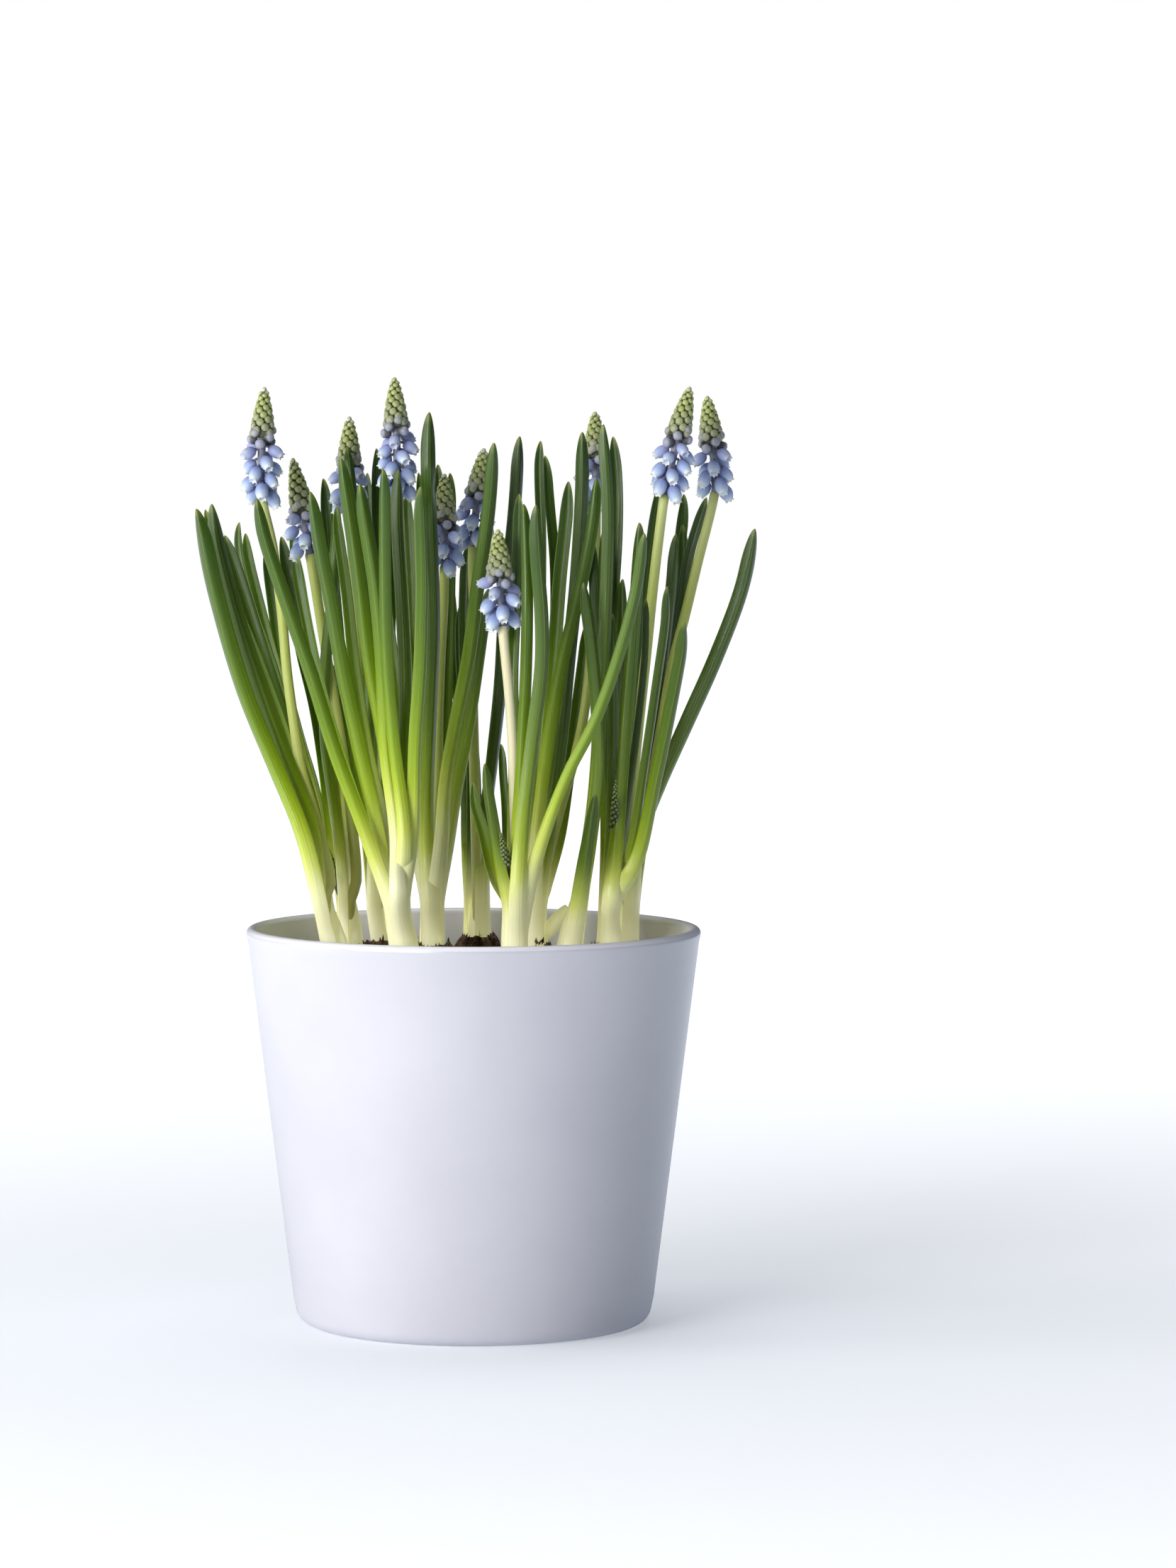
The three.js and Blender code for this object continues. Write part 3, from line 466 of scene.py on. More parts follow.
def set_layer(bm, name, values):
    layer = bm.verts.layers.float[name]
    for vert, value in zip(bm.verts, np.broadcast_to(values, len(bm.verts))):
        vert[layer] = float(value)


bent = copy_of(TUBE[8, 6])
bend(bent, Line([(0, 0, 0), (0, 0, 50), (20, 0, 90)]))
print("a bent tube ends at x", round(max(vert.co.x for vert in bent.verts)), "mm")
bent.free()

# %% [markdown]
# Small shapes are joined into one mesh for each piece. A finished piece is scaled to metres, keeps its
# object at the origin, rides on the one body, and hides the solids that it replaces.

# %% Joining and finishing a piece
def add_to(whole, bm):
    """Adds one bmesh to another and frees it."""
    mesh = bpy.data.meshes.new("part")
    bm.to_mesh(mesh)
    whole.from_mesh(mesh)
    bpy.data.meshes.remove(mesh)
    bm.free()


def finish_piece(name, bm, finish, slot, *nodes):
    """Scales a mesh to metres and puts it in the scene in place of its solids."""
    bmesh.ops.scale(bm, vec=(MM, MM, MM), verts=bm.verts)
    mesh = bpy.data.meshes.new(name)
    bm.to_mesh(mesh)
    bm.free()
    mesh.shade_smooth()
    mesh.materials.append(finish.material)
    piece = bpy.data.objects.new(name, mesh)
    bpy.context.scene.collection.objects.link(piece)
    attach(piece, "root")
    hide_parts(*nodes)
    mesh.calc_loop_triangles()
    print(name, len(mesh.loop_triangles), "triangles")


print("solids that the pieces must replace:", len(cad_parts))

# %% [markdown]
# A finish is a tree of shader nodes. Drawn by hand that is a web of wires, and written as code it is easier
# to read as sums: a Tone wraps one output, and adding or multiplying two Tones adds the Math node. Colours
# are mixed by Mix nodes, because a Math node would turn them grey.

# %% A Tone: sums on sockets
class Tone:
    """A value or colour that changes over a surface."""

    def __init__(self, tree, socket):
        self.tree, self.socket = tree, socket

    def math(self, operation, *others, clamp=False):
        return self.tree.node("ShaderNodeMath", {"operation": operation, "use_clamp": clamp}, others)

    def __add__(self, other):
        return self.math("ADD", self, other)

    def __sub__(self, other):
        return self.math("SUBTRACT", self, other)

    def __rsub__(self, other):
        return self.math("SUBTRACT", other, self)

    def __mul__(self, other):
        return self.math("MULTIPLY", self, other)

    def __pow__(self, other):
        return self.math("POWER", self, other)

    __radd__, __rmul__ = __add__, __mul__

    def clamped(self):
        return self.math("ADD", self, 0, clamp=True)

    def wave(self):
        return self.math("SINE", self)

    def size(self):
        return self.math("ABSOLUTE", self)

    def between(self, low, high):
        """0 below low, 1 above high and a soft step between."""
        settings = {"interpolation_type": "SMOOTHSTEP"}
        inputs = {"Value": self, "From Min": low, "From Max": high}
        return self.tree.node("ShaderNodeMapRange", settings, inputs)


print("a Tone can", ", ".join(name for name in vars(Tone) if not name.startswith("_")))

# %% [markdown]
# The nodes themselves all come from one method, which takes a node's type, its settings and what goes into
# its sockets. A Tree belongs to any shader, also to the sky's, and a Finish is the tree of one Principled
# surface, with short names for the nodes that the finishes of this plant use most.

# %% A Tree and a Finish
class Tree:
    """The nodes that lead to one shader."""

    def __init__(self, tree, shader):
        self.nodes, self.links, self.shader = tree.nodes, tree.links, tree.nodes[shader]

    def node(self, kind, settings, inputs, output=0):
        """Makes a node and returns one of its outputs."""
        made = self.nodes.new(kind)
        for key, value in settings.items():
            if key == "stops":
                self.set_stops(made.color_ramp, value)
            else:
                setattr(made, key, value)
        for key, value in inputs.items() if isinstance(inputs, dict) else enumerate(inputs):
            if isinstance(value, Tone):
                self.links.new(value.socket, made.inputs[key])
            else:
                made.inputs[key].default_value = value
        return Tone(self, made.outputs[output])

    def set_stops(self, ramp, stops):
        while len(ramp.elements) < len(stops):
            ramp.elements.new(1)
        for element, (position, colour) in zip(ramp.elements, stops):
            element.position, element.color = position, (*colour, 1)

    def set(self, socket, tone):
        self.links.new(tone.socket, self.shader.inputs[socket])

    def mix(self, share, one, two):
        one, two = ((*c, 1) if isinstance(c, tuple) else c for c in (one, two))
        return self.node("ShaderNodeMix", {"data_type": "RGBA"}, {0: share, 6: one, 7: two}, 2)

    def to_camera(self):
        """1 for what the camera sees directly and 0 for light on its way to something else."""
        return self.node("ShaderNodeLightPath", {}, {}, "Is Camera Ray")


class Finish(Tree):
    """A Principled surface whose colour, roughness and bump are written as expressions."""

    def __init__(self, name, constants):
        self.material = bpy.data.materials.new(name)
        self.material.use_nodes = True
        super().__init__(self.material.node_tree, "Principled BSDF")
        for socket, value in constants.items():
            self.shader.inputs[socket].default_value = value

    def carried(self, name):
        """A number that the mesh carries on its points."""
        return self.node("ShaderNodeAttribute", {"attribute_name": name}, {}, "Fac")

    def place(self):
        return self.node("ShaderNodeTexCoord", {}, {}, "Object")

    def height(self):
        """Height above the table in millimetres."""
        return self.node("ShaderNodeSeparateXYZ", {}, [self.place()], "Z") * 1000

    def point(self, x, y, z):
        return self.node("ShaderNodeCombineXYZ", {}, [x, y, z])

    def noise(self, vector, scale, detail=3.0, roughness=0.5):
        inputs = {"Vector": vector, "Scale": scale, "Detail": detail, "Roughness": roughness}
        return self.node("ShaderNodeTexNoise", {}, inputs)

    def ramp(self, value, *stops):
        return self.node("ShaderNodeValToRGB", {"stops": stops}, [value])

    def bump(self, height, strength, distance):
        inputs = {"Height": height, "Strength": strength, "Distance": distance}
        self.set("Normal", self.node("ShaderNodeBump", {}, inputs))


print("a Finish can", ", ".join(name for name in vars(Finish) if not name.startswith("_")))

# %% [markdown]
# The pot is thrown and glazed stoneware with a thin wall, a rounded lip and a rounded foot. A round piece is
# a profile spun about the upright axis. Arcs in the profile give the lip and the foot their soft edges.

# %% The pot's shape
def wall_radius(z):
    return POT_FOOT_RADIUS + (POT_RIM_RADIUS - POT_FOOT_RADIUS) * z / POT_HEIGHT


def arc(middle, radii, start, end, steps):
    turns = np.radians(np.linspace(start, end, steps + 1))
    return [(middle[0] + radii[0] * math.cos(t), middle[1] + radii[1] * math.sin(t)) for t in turns]


def spun(profile, steps):
    """A profile of radius and height, spun to a closed round shape."""
    bm = new_mesh()
    verts = [bm.verts.new((r, 0, z)) for r, z in profile]
    edges = [bm.edges.new(pair) for pair in zip(verts, verts[1:])]
    bmesh.ops.spin(bm, geom=verts + edges, cent=(0, 0, 0), axis=(0, 0, 1), angle=2 * math.pi, steps=steps,
                   use_merge=True)
    bmesh.ops.remove_doubles(bm, verts=bm.verts, dist=1e-4)
    bmesh.ops.recalc_face_normals(bm, faces=bm.faces)
    return bm


FOOT_ROUNDING = 5.0
LIP = POT_WALL / 2
# Height of the band along the top of the lip that is painted white as a painted highlight.
PAINTED_HIGHLIGHT_LIP_BAND = 1.3
foot_middle = (wall_radius(0) - FOOT_ROUNDING + 0.3, FOOT_ROUNDING)
foot = arc(foot_middle, (FOOT_ROUNDING, FOOT_ROUNDING), -90, -7, 8)
rim = arc((POT_RIM_RADIUS - LIP, POT_HEIGHT - LIP), (LIP, LIP), -7, 187, 12)
wall = [(wall_radius(z), z) for z in np.linspace(FOOT_ROUNDING + 3, POT_HEIGHT - 4, 12)]
inside = [(wall_radius(z) - POT_WALL, z) for z in np.linspace(POT_HEIGHT - 4, POT_FLOOR + 6, 10)]
base = [(0, 1.2), (wall_radius(0) - 9, 1.2), (wall_radius(0) - 7.6, 0)]
floor_inside = [(wall_radius(POT_FLOOR) - POT_WALL - 5, POT_FLOOR), (0, POT_FLOOR)]
pot_shape = spun(base + foot + wall + rim + inside + floor_inside, 160)
# The lip and the inside are marked for painted light: a purer white for the highlight on the lip and the
# light inside.
for vert in pot_shape.verts:
    depth = wall_radius(vert.co.z) - math.hypot(vert.co.x, vert.co.y)
    painted_light_lip_and_inside = vert.co.z > POT_HEIGHT - PAINTED_HIGHLIGHT_LIP_BAND or (depth > 0.6 and vert.co.z > 3)
    vert[pot_shape.verts.layers.float["kind"]] = float(painted_light_lip_and_inside)
print("pot profile points:", len(base + foot + wall + rim + inside + floor_inside))

# %% [markdown]
# The glaze is a satin white with a breath of lilac. Hand-glazed ware is never quite even: the layer is a
# little thicker in places, faint rings stay from the wheel, and a few pinholes show close up. The lip and the
# inside are painted a purer white: a painted highlight along the lip and painted light on the inside wall.

# %% The pot's glaze
glaze = Finish("glaze", {"Coat Weight": 0.3, "Coat Roughness": 0.08, "IOR": 1.45})
cloud = glaze.noise(glaze.place(), 22, 4)
rings = (glaze.height() * 0.9 + 3 * cloud).wave()
specks = glaze.noise(glaze.place(), 900, 2).between(0.74, 0.8)
clean = glaze.mix(cloud.between(0.3, 0.7), (0.63, 0.625, 0.67), (0.67, 0.665, 0.705))
# Painted light: the marked lip and inside take a purer white, a painted highlight and painted light on the
# inner wall.
clean = glaze.mix(glaze.carried("kind"), clean, (0.91, 0.89, 0.93))
glaze.set("Base Color", glaze.mix(specks * 0.35, clean, (0.5, 0.48, 0.47)))
glaze.set("Roughness", cloud * 0.16 + 0.24)
glaze.bump(rings * 0.25 + glaze.noise(glaze.place(), 120, 3) * 0.5 - specks * 0.6, 0.06, 0.001)
finish_piece("pot_glazed", pot_shape, glaze, "glaze", "pot")

# %% [markdown]
# Potting compost fills the pot to a finger's width below the rim. It is a dark, crumbly sheet with lumps:
# a fine disc whose points are lifted by noise, over a plain body, with a few hundred small crumbs.

# %% The compost
CRUMBS = 420
rng = random.Random(4)


def soil_height(x, y):
    grain = noise.noise(Vector((x, y, 3)) * 0.16) * 1.4 + noise.noise(Vector((x, y, 9)) * 0.6) * 0.8
    return SOIL_TOP + 0.9 * math.cos(math.hypot(x, y) / 45) + grain


SOIL_REACH = wall_radius(SOIL_TOP) - POT_WALL - 0.8
low_reach = wall_radius(8) - POT_WALL - 2.5
body = [(0, POT_FLOOR + 0.4), (low_reach, POT_FLOOR + 0.4), (SOIL_REACH, SOIL_TOP - 2.5)]
top = [(SOIL_REACH - 0.4 - 1.55 * k, SOIL_TOP) for k in range(40)] + [(0, SOIL_TOP)]
soil_shape = spun(body + top, 120)
for vert in soil_shape.verts:
    if vert.co.z > SOIL_TOP - 1:
        vert.co.z = soil_height(vert.co.x, vert.co.y)
for k in range(CRUMBS):
    turn, away = rng.uniform(0, 2 * math.pi), SOIL_REACH * math.sqrt(rng.random()) * 0.97
    x, y, size = away * math.cos(turn), away * math.sin(turn), rng.uniform(0.5, 1.9)
    crumb = new_mesh()
    bmesh.ops.create_icosphere(crumb, subdivisions=1, radius=size)
    for vert in crumb.verts:
        vert.co *= 1 + 0.35 * noise.noise(vert.co * 0.9 + Vector((k, 0, 0)))
    spot = Matrix.Translation((x, y, soil_height(x, y) + 0.1 * size))
    bmesh.ops.transform(crumb, matrix=spot @ Matrix.Diagonal((1, 1, 0.7, 1)), verts=crumb.verts)
    set_layer(crumb, "tone", rng.random())
    add_to(soil_shape, crumb)
print("compost:", len(soil_shape.verts), "points with", CRUMBS, "crumbs")

# %% [markdown]
# Moist compost is nearly black and quite matt, with browner fibres. The crumbs differ a little in tone, and a
# strong bump from the same noise as the colour makes the dark places look like hollows.

# %% The compost's finish
compost = Finish("compost", {"Roughness": 0.95})
lumps = compost.noise(compost.place(), 260, 6, 0.7)
dark = compost.mix(lumps, (0.012, 0.008, 0.006), (0.075, 0.045, 0.028))
compost.set("Base Color", compost.mix(compost.carried("tone") * 0.35, dark, (0.11, 0.07, 0.045)))
compost.bump(lumps, 0.9, 0.0012)
finish_piece("soil_compost", soil_shape, compost, "soil", "soil")

# %% [markdown]
# The leaves of a bulb come out of its neck rolled round one another as a white sheath. Its core is a tube
# with faint folds, which tapers off where the leaves part. The feet of the leaves will be wrapped round it.

# %% The sheath
def sheath_line(number):
    (x, y), sheath = PLANTS[number]["at"], PLANTS[number]["sheath"]
    top = stand(sheath, SHEATH_TOP, y)
    return Line([(x, y, SHEATH_BOTTOM), (x + 0.15 * (top[0] - x), y, BULB_NECK_TOP), top])


def sheath(number, rng):
    bm = copy_of(TUBE[24, 16])
    x, y, z = places_of(bm).T
    radius = np.interp(z, [0, 1 / 3, 2 / 3, 0.94, 1], [3.7, 3.6, 2.9, 1.6, 0.8])
    folds = 1 + 0.05 * np.sin(5 * np.arctan2(y, x) + 2 * z + number)
    move_to(bm, np.column_stack([x * radius * folds, y * radius * folds, z]))
    set_layer(bm, "tone", rng.random())
    bend(bm, sheath_line(number))
    return bm


print("sheath of the first plant:", round(sheath_line(0).length, 1), "mm long")

# %% [markdown]
# A leaf of a grape hyacinth is a narrow, fleshy strap with a shallow channel. It leaves its sheath narrow and
# pale, is widest past the middle, and ends in a rounded, slightly hooded tip. A round tube is squeezed into
# that section: cos of the angle gives the place across, and the channel is a curve of that place. Its foot is
# a wide strip rolled round the sheath, which unrolls as it climbs.

# %% A leaf's width, line and facing
UNROLLED_AFTER = 62
HELD_FOR = 60


def blade_width(share, length, width):
    """Width of a blade, as a share of its full width, along its length."""
    body = np.interp(share, [0, 0.28, 0.62, 0.85, 1], [0.8, 0.96, 1, 0.97, 0.92])
    to_tip = np.clip((1 - share) * length / (2.6 * width), 0, 1)
    return body * (1 - (1 - to_tip) ** 2) ** 0.6


def turned(across, out, angle):
    return across * np.cos(angle) - out * np.sin(angle), across * np.sin(angle) + out * np.cos(angle)


def blade_line(strand):
    """A leaf's middle line, carried on down beside the sheath into the neck of the bulb."""
    above = strand["curve"].place(np.linspace(0, 1, 30))
    core = sheath_line(strand["plant"])
    beside = above[0] - core.place(0.55)[0]
    beside[2] = 0
    return Line([core.place(0.08)[0] + 0.9 * beside, core.place(0.3)[0] + beside, *above])


def outward_of(strand, line, number, share):
    """Where a blade's channel opens: to the sheath's middle at its foot, then its own way."""
    inward = sheath_line(strand["plant"]).place(0.55)[0] - strand["curve"].place(0)[0]
    inward[2] = 0
    inward /= np.linalg.norm(inward)
    turn = 0.5 * math.sin(2.4 * number + 1)
    free = np.array([math.sin(turn), math.copysign(math.cos(turn), inward[1]), 0])
    held = np.clip(1.2 - share * line.length / HELD_FOR, 0, 1)[:, None]
    return inward * held + free * (1 - held)


def wrap_radius(strand):
    """The leaves of a tuft wrap one another at the foot: the farther out one stands, the wider its roll."""
    middle = np.array(sheath_line(strand["plant"]).place(1)[0])
    tuft = [s for s in strands if s["plant"] == strand["plant"] and s["kind"] == "leaf"]
    reach = [np.hypot(*(s["curve"].place(0.24)[0] - middle)[:2]) for s in tuft]
    order = sorted(reach).index(reach[tuft.index(strand)]) / max(len(tuft) - 1, 1)
    return 3.1 + 1.5 * order


widths = [wrap_radius(s) for s in strands if s["kind"] == "leaf"]
print("the feet are rolled to", round(min(widths), 1), "to", round(max(widths), 1), "mm in radius")

# %% [markdown]
# The blade puts these together. All its numbers are arrays with one value for each point of the tube, so one
# line of sums shapes the whole leaf. Each plant's leaves have their own tone: 0 is pale and 1 is dark, which
# also says how far down they stay green. The short, young leaves are darker still. The dark tones are partly
# the leaves' own colour and partly painted shade, for plants that stand in the shade of the others.

# %% One leaf blade
FOOT_HALF_WIDTH = 4.1
# Tone of each plant, pale to dark; the darkest, as the sixth plant at the back, are partly painted shade.
LEAF_TONE_AND_SHADE = [0.4, 0.4, 0.5, 0.35, 0.3, 0.85, 0.35, 0.5, 0.5, 0.8, 0.75]
YOUNG_LEAF_LENGTH = 95


def blade(strand, number, rng):
    bm = copy_of(TUBE[20, 48])
    x, y, z = places_of(bm).T
    line, width = blade_line(strand), strand["width"]
    share = 1 - (1 - z) ** 1.5
    size = width * blade_width(share, line.length, width)
    hood = np.clip(1 - (1 - share) * line.length / (3 * width), 0, 1)
    cross = np.sign(x) * np.abs(x) ** 0.9
    thick = 0.14 + 0.02 * np.sin(3 * cross + number)
    wrap = np.clip(1 - share * line.length / UNROLLED_AFTER, 0, 1) ** 1.5
    half = 0.5 * size * (1 - wrap) + FOOT_HALF_WIDTH * wrap
    radius = wrap_radius(strand)
    curl = np.maximum(wrap**0.8 / radius, 1e-3)
    fold = (0.40 + 0.15 * hood) * (np.sqrt(cross**2 + 0.03) - 0.17) - 0.08
    sideways = np.sin(curl * half * cross) / curl
    outwards = (1 - np.cos(curl * half * cross)) / curl
    outwards = outwards + size * (fold * (1 - wrap) + thick * (1 - 0.5 * wrap) * y)
    sway = (0.3 * rng.uniform(-1, 1) * share + 0.06 * np.sin(share * rng.uniform(5, 9) + number)) * (1 - wrap)
    sideways, outwards = turned(sideways, outwards, sway)
    outwards = outwards + wrap * (ROOT_OFFSET - radius)
    place, across, out = frames(line, share, outward_of(strand, line, number, share))
    move_to(bm, place + across * sideways[:, None] + out * outwards[:, None])
    young = 0.9 if line.length < YOUNG_LEAF_LENGTH else 0
    tone = LEAF_TONE_AND_SHADE[strand["plant"]] + rng.uniform(-0.3, 0.3) + young
    for name, values in (("along", share), ("around", cross), ("tone", tone)):
        set_layer(bm, name, values)
    return bm


print("leaf width half way up:", round(float(blade_width(0.5, 140, 5)), 2), "of its full width")

# %% [markdown]
# The leaf's colour follows its height more than anything else: the part in the sheath stays white, then
# comes a yellow-green and above it a dark green with a bluish bloom. Parallel veins run the whole length,
# so their pattern is drawn from the place across, and long streaks come from noise stretched along.

# %% The leaf's finish
def leaf_finish():
    leaf = Finish("leaf", {"Coat Weight": 0.14, "Coat Roughness": 0.1, "IOR": 1.33, "Subsurface Weight": 0.15,
                           "Subsurface Radius": (0.003, 0.004, 0.001), "Subsurface Scale": 0.6,
                           "Emission Strength": 1.0})
    across, along, tone = (leaf.carried(name) for name in ("around", "along", "tone"))
    streak = leaf.noise(leaf.point(across * 9, along * 1.4, tone * 40), 1.0, 3)
    rise = leaf.height()
    height = rise + ((tone - 0.5) * 50 + (streak - 0.5) * 26) * rise.between(112, 165)
    green = leaf.ramp((height - 110) * (1 / 160),
                      (0.0, (0.90, 0.89, 0.72)), (0.14, (0.86, 0.86, 0.50)), (0.22, (0.64, 0.71, 0.12)),
                      (0.30, (0.38, 0.50, 0.02)), (0.38, (0.25, 0.37, 0.01)), (0.48, (0.15, 0.25, 0.006)),
                      (0.62, (0.085, 0.16, 0.008)), (0.82, (0.05, 0.105, 0.010)),
                      (1.0, (0.038, 0.082, 0.012)))
    # Partly painted shade: the darker the tone, the darker the leaf above its pale foot.
    shade = tone.between(0.3, 1.1) * height.between(128, 190)
    green = leaf.mix(shade * 0.55, green, (0.014, 0.034, 0.006))
    veins = (across * 30 + streak * 3).wave() * 0.5 + 0.5
    fine = leaf.noise(leaf.point(across * 14, along * 3, tone * 40), 1.0, 4)
    green = leaf.mix(fine.between(0.45, 0.75) * (veins * 0.5 + 0.5) * 0.24, green, (0.34, 0.46, 0.06))
    # Painted highlights: a light line along the middle fold and along both edges of each blade.
    fold = (across + (streak - 0.5) * 0.1).size().between(0.12, 0.0)
    painted_edge_highlight = across.size().between(0.94, 1.0)
    green = leaf.mix(painted_edge_highlight * 0.3 + fold * 0.22, green, (0.34, 0.42, 0.13))
    tip = along.between(0.975, 1.0)
    leaf.set("Base Color", leaf.mix(tip * 0.5, green, (0.30, 0.32, 0.08)))
    # Painted light: the foot glows a little, so it is brighter than the lamps alone would make it.
    leaf.set("Emission Color", leaf.mix(rise.between(116, 146), (0.25, 0.24, 0.13), (0.0, 0.0, 0.0)))
    leaf.set("Roughness", fine * 0.2 + 0.2)
    leaf.bump(veins * 0.15 + fine * 0.8 + streak * 0.5, 0.2, 0.0005)
    return leaf


leaf = leaf_finish()
print("leaf nodes:", len(leaf.nodes))

# %% [markdown]
# A tuft is the sheath and all the leaves of one bulb, joined into one mesh. Each tuft has its own seed, so a
# leaf that is added to one plant leaves the others as they were.

# %% The tufts of leaves
def build_tuft(number):
    rng = random.Random(100 + number)
    whole = new_mesh()
    add_to(whole, sheath(number, rng))
    for order, strand in enumerate(strands):
        if strand["plant"] == number and strand["kind"] == "leaf":
            add_to(whole, blade(strand, order, rng))
    finish_piece(f"tuft_{number + 1}", whole, leaf, "leaf", f"leaves_{number + 1}")


for number in range(len(PLANTS)):
    build_tuft(number)

# %% [markdown]
# A stalk carries no leaves. It is round, juicy and pale, and a little narrower under the flowers. So it is a
# plain tube on its middle line, with a slow swelling, which ends where the first bells hang.

# %% One stalk
CREAMY_STALK = 6


def stalk_of(number):
    return next((s for s in strands if s["plant"] == number and s["kind"] == "stalk"), None)


def share_at(strand, z):
    """The share of a stalk's length at a drawn height near its tip."""
    return 1 - (strand["tip_z"] - z) / strand["curve"].length


def build_stalk(number, finish):
    strand = stalk_of(number)
    bm = copy_of(TUBE[16, 40])
    x, y, z = places_of(bm).T
    radius = STALK_RADIUS * (1 - 0.12 * z) * (1 + 0.03 * np.sin(7 * z + number))
    move_to(bm, np.column_stack([x * radius, y * radius, z * share_at(strand, strand["bells_from"])]))
    set_layer(bm, "tone", 1.0 if number == CREAMY_STALK else 0.08 * number)
    bend(bm, strand["curve"])
    finish_piece(f"flower_stalk_{number + 1}", bm, finish, "stalk", f"stalk_{number + 1}")


print("stalks:", sum(stalk_of(number) is not None for number in range(len(PLANTS))))

# %% [markdown]
# Its skin is cream at the foot and yellow-green above, with a fine grain along it. The colour follows the
# height, and a little noise keeps the change from being a level line. One stalk stays creamy all the way.

# %% The stalks' finish
stalk_skin = Finish("stalk_skin", {"Coat Weight": 0.1, "Coat Roughness": 0.3, "IOR": 1.42})
around, along = stalk_skin.carried("around"), stalk_skin.carried("along")
grain = stalk_skin.noise(stalk_skin.point(around * 30, along * 6, 0), 1.0)
level = (stalk_skin.height() + (grain - 0.5) * 20 - 115) * (1 / 145)
juicy = stalk_skin.ramp(level, (0.0, (0.80, 0.77, 0.42)), (0.3, (0.58, 0.62, 0.14)),
                        (0.75, (0.53, 0.60, 0.13)), (1.0, (0.56, 0.60, 0.24)))
creamy = stalk_skin.mix(stalk_skin.carried("tone").between(0.95, 1.0), juicy, (0.80, 0.74, 0.46))
stalk_skin.set("Base Color", stalk_skin.mix(grain.between(0.55, 0.75) * 0.3, creamy, (0.34, 0.42, 0.10)))
stalk_skin.set("Roughness", grain * 0.15 + 0.34)
stalk_skin.bump(grain, 0.1, 0.0004)
for number, plant in enumerate(PLANTS):
    if "stalk" in plant:
        build_stalk(number, stalk_skin)

# %% [markdown]
# Every spike ends in a cone of closed buds. They share one shape: a squarish ball whose foot, where it sits
# in the spike, is darkened by painted shade in the finish. A new bud stands 137.5 degrees round from the
# last, the golden angle, as on the real plant. The buds shrink towards the tip, so they are also packed
# closer there.

# %% One bud, and a cone of buds
GOLDEN = math.radians(137.5)
OPEN_BELL, CLOSED_BUD, STEM, YOUNG_BUD = range(4)


def bud_shape():
    bm = new_mesh()
    bmesh.ops.create_icosphere(bm, subdivisions=2, radius=1)
    around = bm.verts.layers.float["around"]
    for vert in bm.verts:
        # Height on the bud, which the finish reads to paint shade round its foot.
        vert[around] = vert.co.z * 0.5 + 0.5
        squared = [math.copysign(abs(c) ** 0.82, c) for c in vert.co]
        vert.co = (squared[0], squared[1], 0.8 * squared[2])
    return unit(bm)


BUD = bud_shape()


def place_unit(whole, mesh, place, out, size, along, tone, twist=0.0):
    """Adds a copy of a small shape whose z axis points out."""
    bm = copy_of(mesh)
    turn = Vector((0, 0, 1)).rotation_difference(Vector(out)).to_matrix().to_4x4()
    stretch = Matrix.Rotation(twist, 4, "Z") @ Matrix.Diagonal((*size, 1))
    bmesh.ops.transform(bm, matrix=Matrix.Translation(Vector(place)) @ turn @ stretch, verts=bm.verts)
    for name, value in (("along", along), ("tone", tone), ("kind", CLOSED_BUD)):
        set_layer(bm, name, value)
    add_to(whole, bm)


def bud_cone(whole, base, tip, radius, count, rng):
    """Closed buds in a spiral round a cone, wide at its base and blunt at its tip."""
    base, tip = Vector(base), Vector(tip)
    up, height = (tip - base).normalized(), (tip - base).length
    side = up.orthogonal().normalized()
    shares = np.linspace(0, 1, 200)
    packed = np.cumsum((1 - 0.3 * shares - 0.42 * shares**2) / (1 - 0.45 * shares) ** 2)
    for k in range(count):
        t = float(np.interp((k + 0.5) / count, packed / packed[-1], shares))
        reach = radius * (1 - 0.3 * t - 0.42 * t * t)
        away = Matrix.Rotation(GOLDEN * k, 3, up) @ side
        out = (away + up * (0.12 + 1.2 * t**3)).normalized()
        size = 0.385 * radius * (1 - 0.45 * t) * rng.uniform(0.95, 1.05)
        place = base + up * (height * 0.93 * t + 0.3) + away * (reach - 0.6 * size)
        place_unit(whole, BUD, place, out, (size, size, size), t, rng.random(), rng.uniform(0, 6))
    knob = 0.2 * radius
    place_unit(whole, BUD, tip - up * knob * 1.2, up, (knob, knob, 1.9 * knob), 1.0, 0.5)


print("bud:", len(BUD.vertices), "points")

# %% [markdown]
# Each floret is a little urn: a rounded shoulder, a swollen belly, a narrow throat and a mouth with six tiny
# recurved teeth. It is spun from a profile that turns in at the mouth, so it is hollow and closed, and then
# its six ribs and teeth are pressed in by the angle of each point.

# %% One bell
def bell_shape():
    outside = [(0.0, 0.0), (0.46, 0.04), (0.8, 0.18), (0.98, 0.4), (0.98, 0.6), (0.82, 0.79), (0.59, 0.92),
               (0.64, 1.0)]
    inside = [(0.53, 0.98), (0.45, 0.85), (0.0, 0.66)]
    bm = spun([(r, -z) for r, z in outside + inside], 12)
    along, around = bm.verts.layers.float["along"], bm.verts.layers.float["around"]
    for vert in bm.verts:
        turn, z = math.atan2(vert.co.y, vert.co.x), -vert.co.z
        vert[along], vert[around] = z, math.cos(6 * turn)
        rib = 1 + 0.035 * math.cos(6 * turn) * math.sin(math.pi * min(z / 0.86, 1))
        tooth = max(z - 0.9, 0) / 0.1
        spread = rib * (1 + 0.12 * tooth * math.cos(6 * turn))
        vert.co = (vert.co.x * spread, vert.co.y * spread, -z - 0.04 * tooth * math.cos(6 * turn))
    return unit(bm)


BELL = bell_shape()
print("bell:", len(BELL.vertices), "points")

# %% [markdown]
# A bell hangs from the axis of the spike on a short stem. The lowest bells are the oldest and droop the most.

# %% A bell on its stem
BELL_LENGTH = 5.5
BELL_RADIUS = 2.05
STEM_RADIUS = 0.45


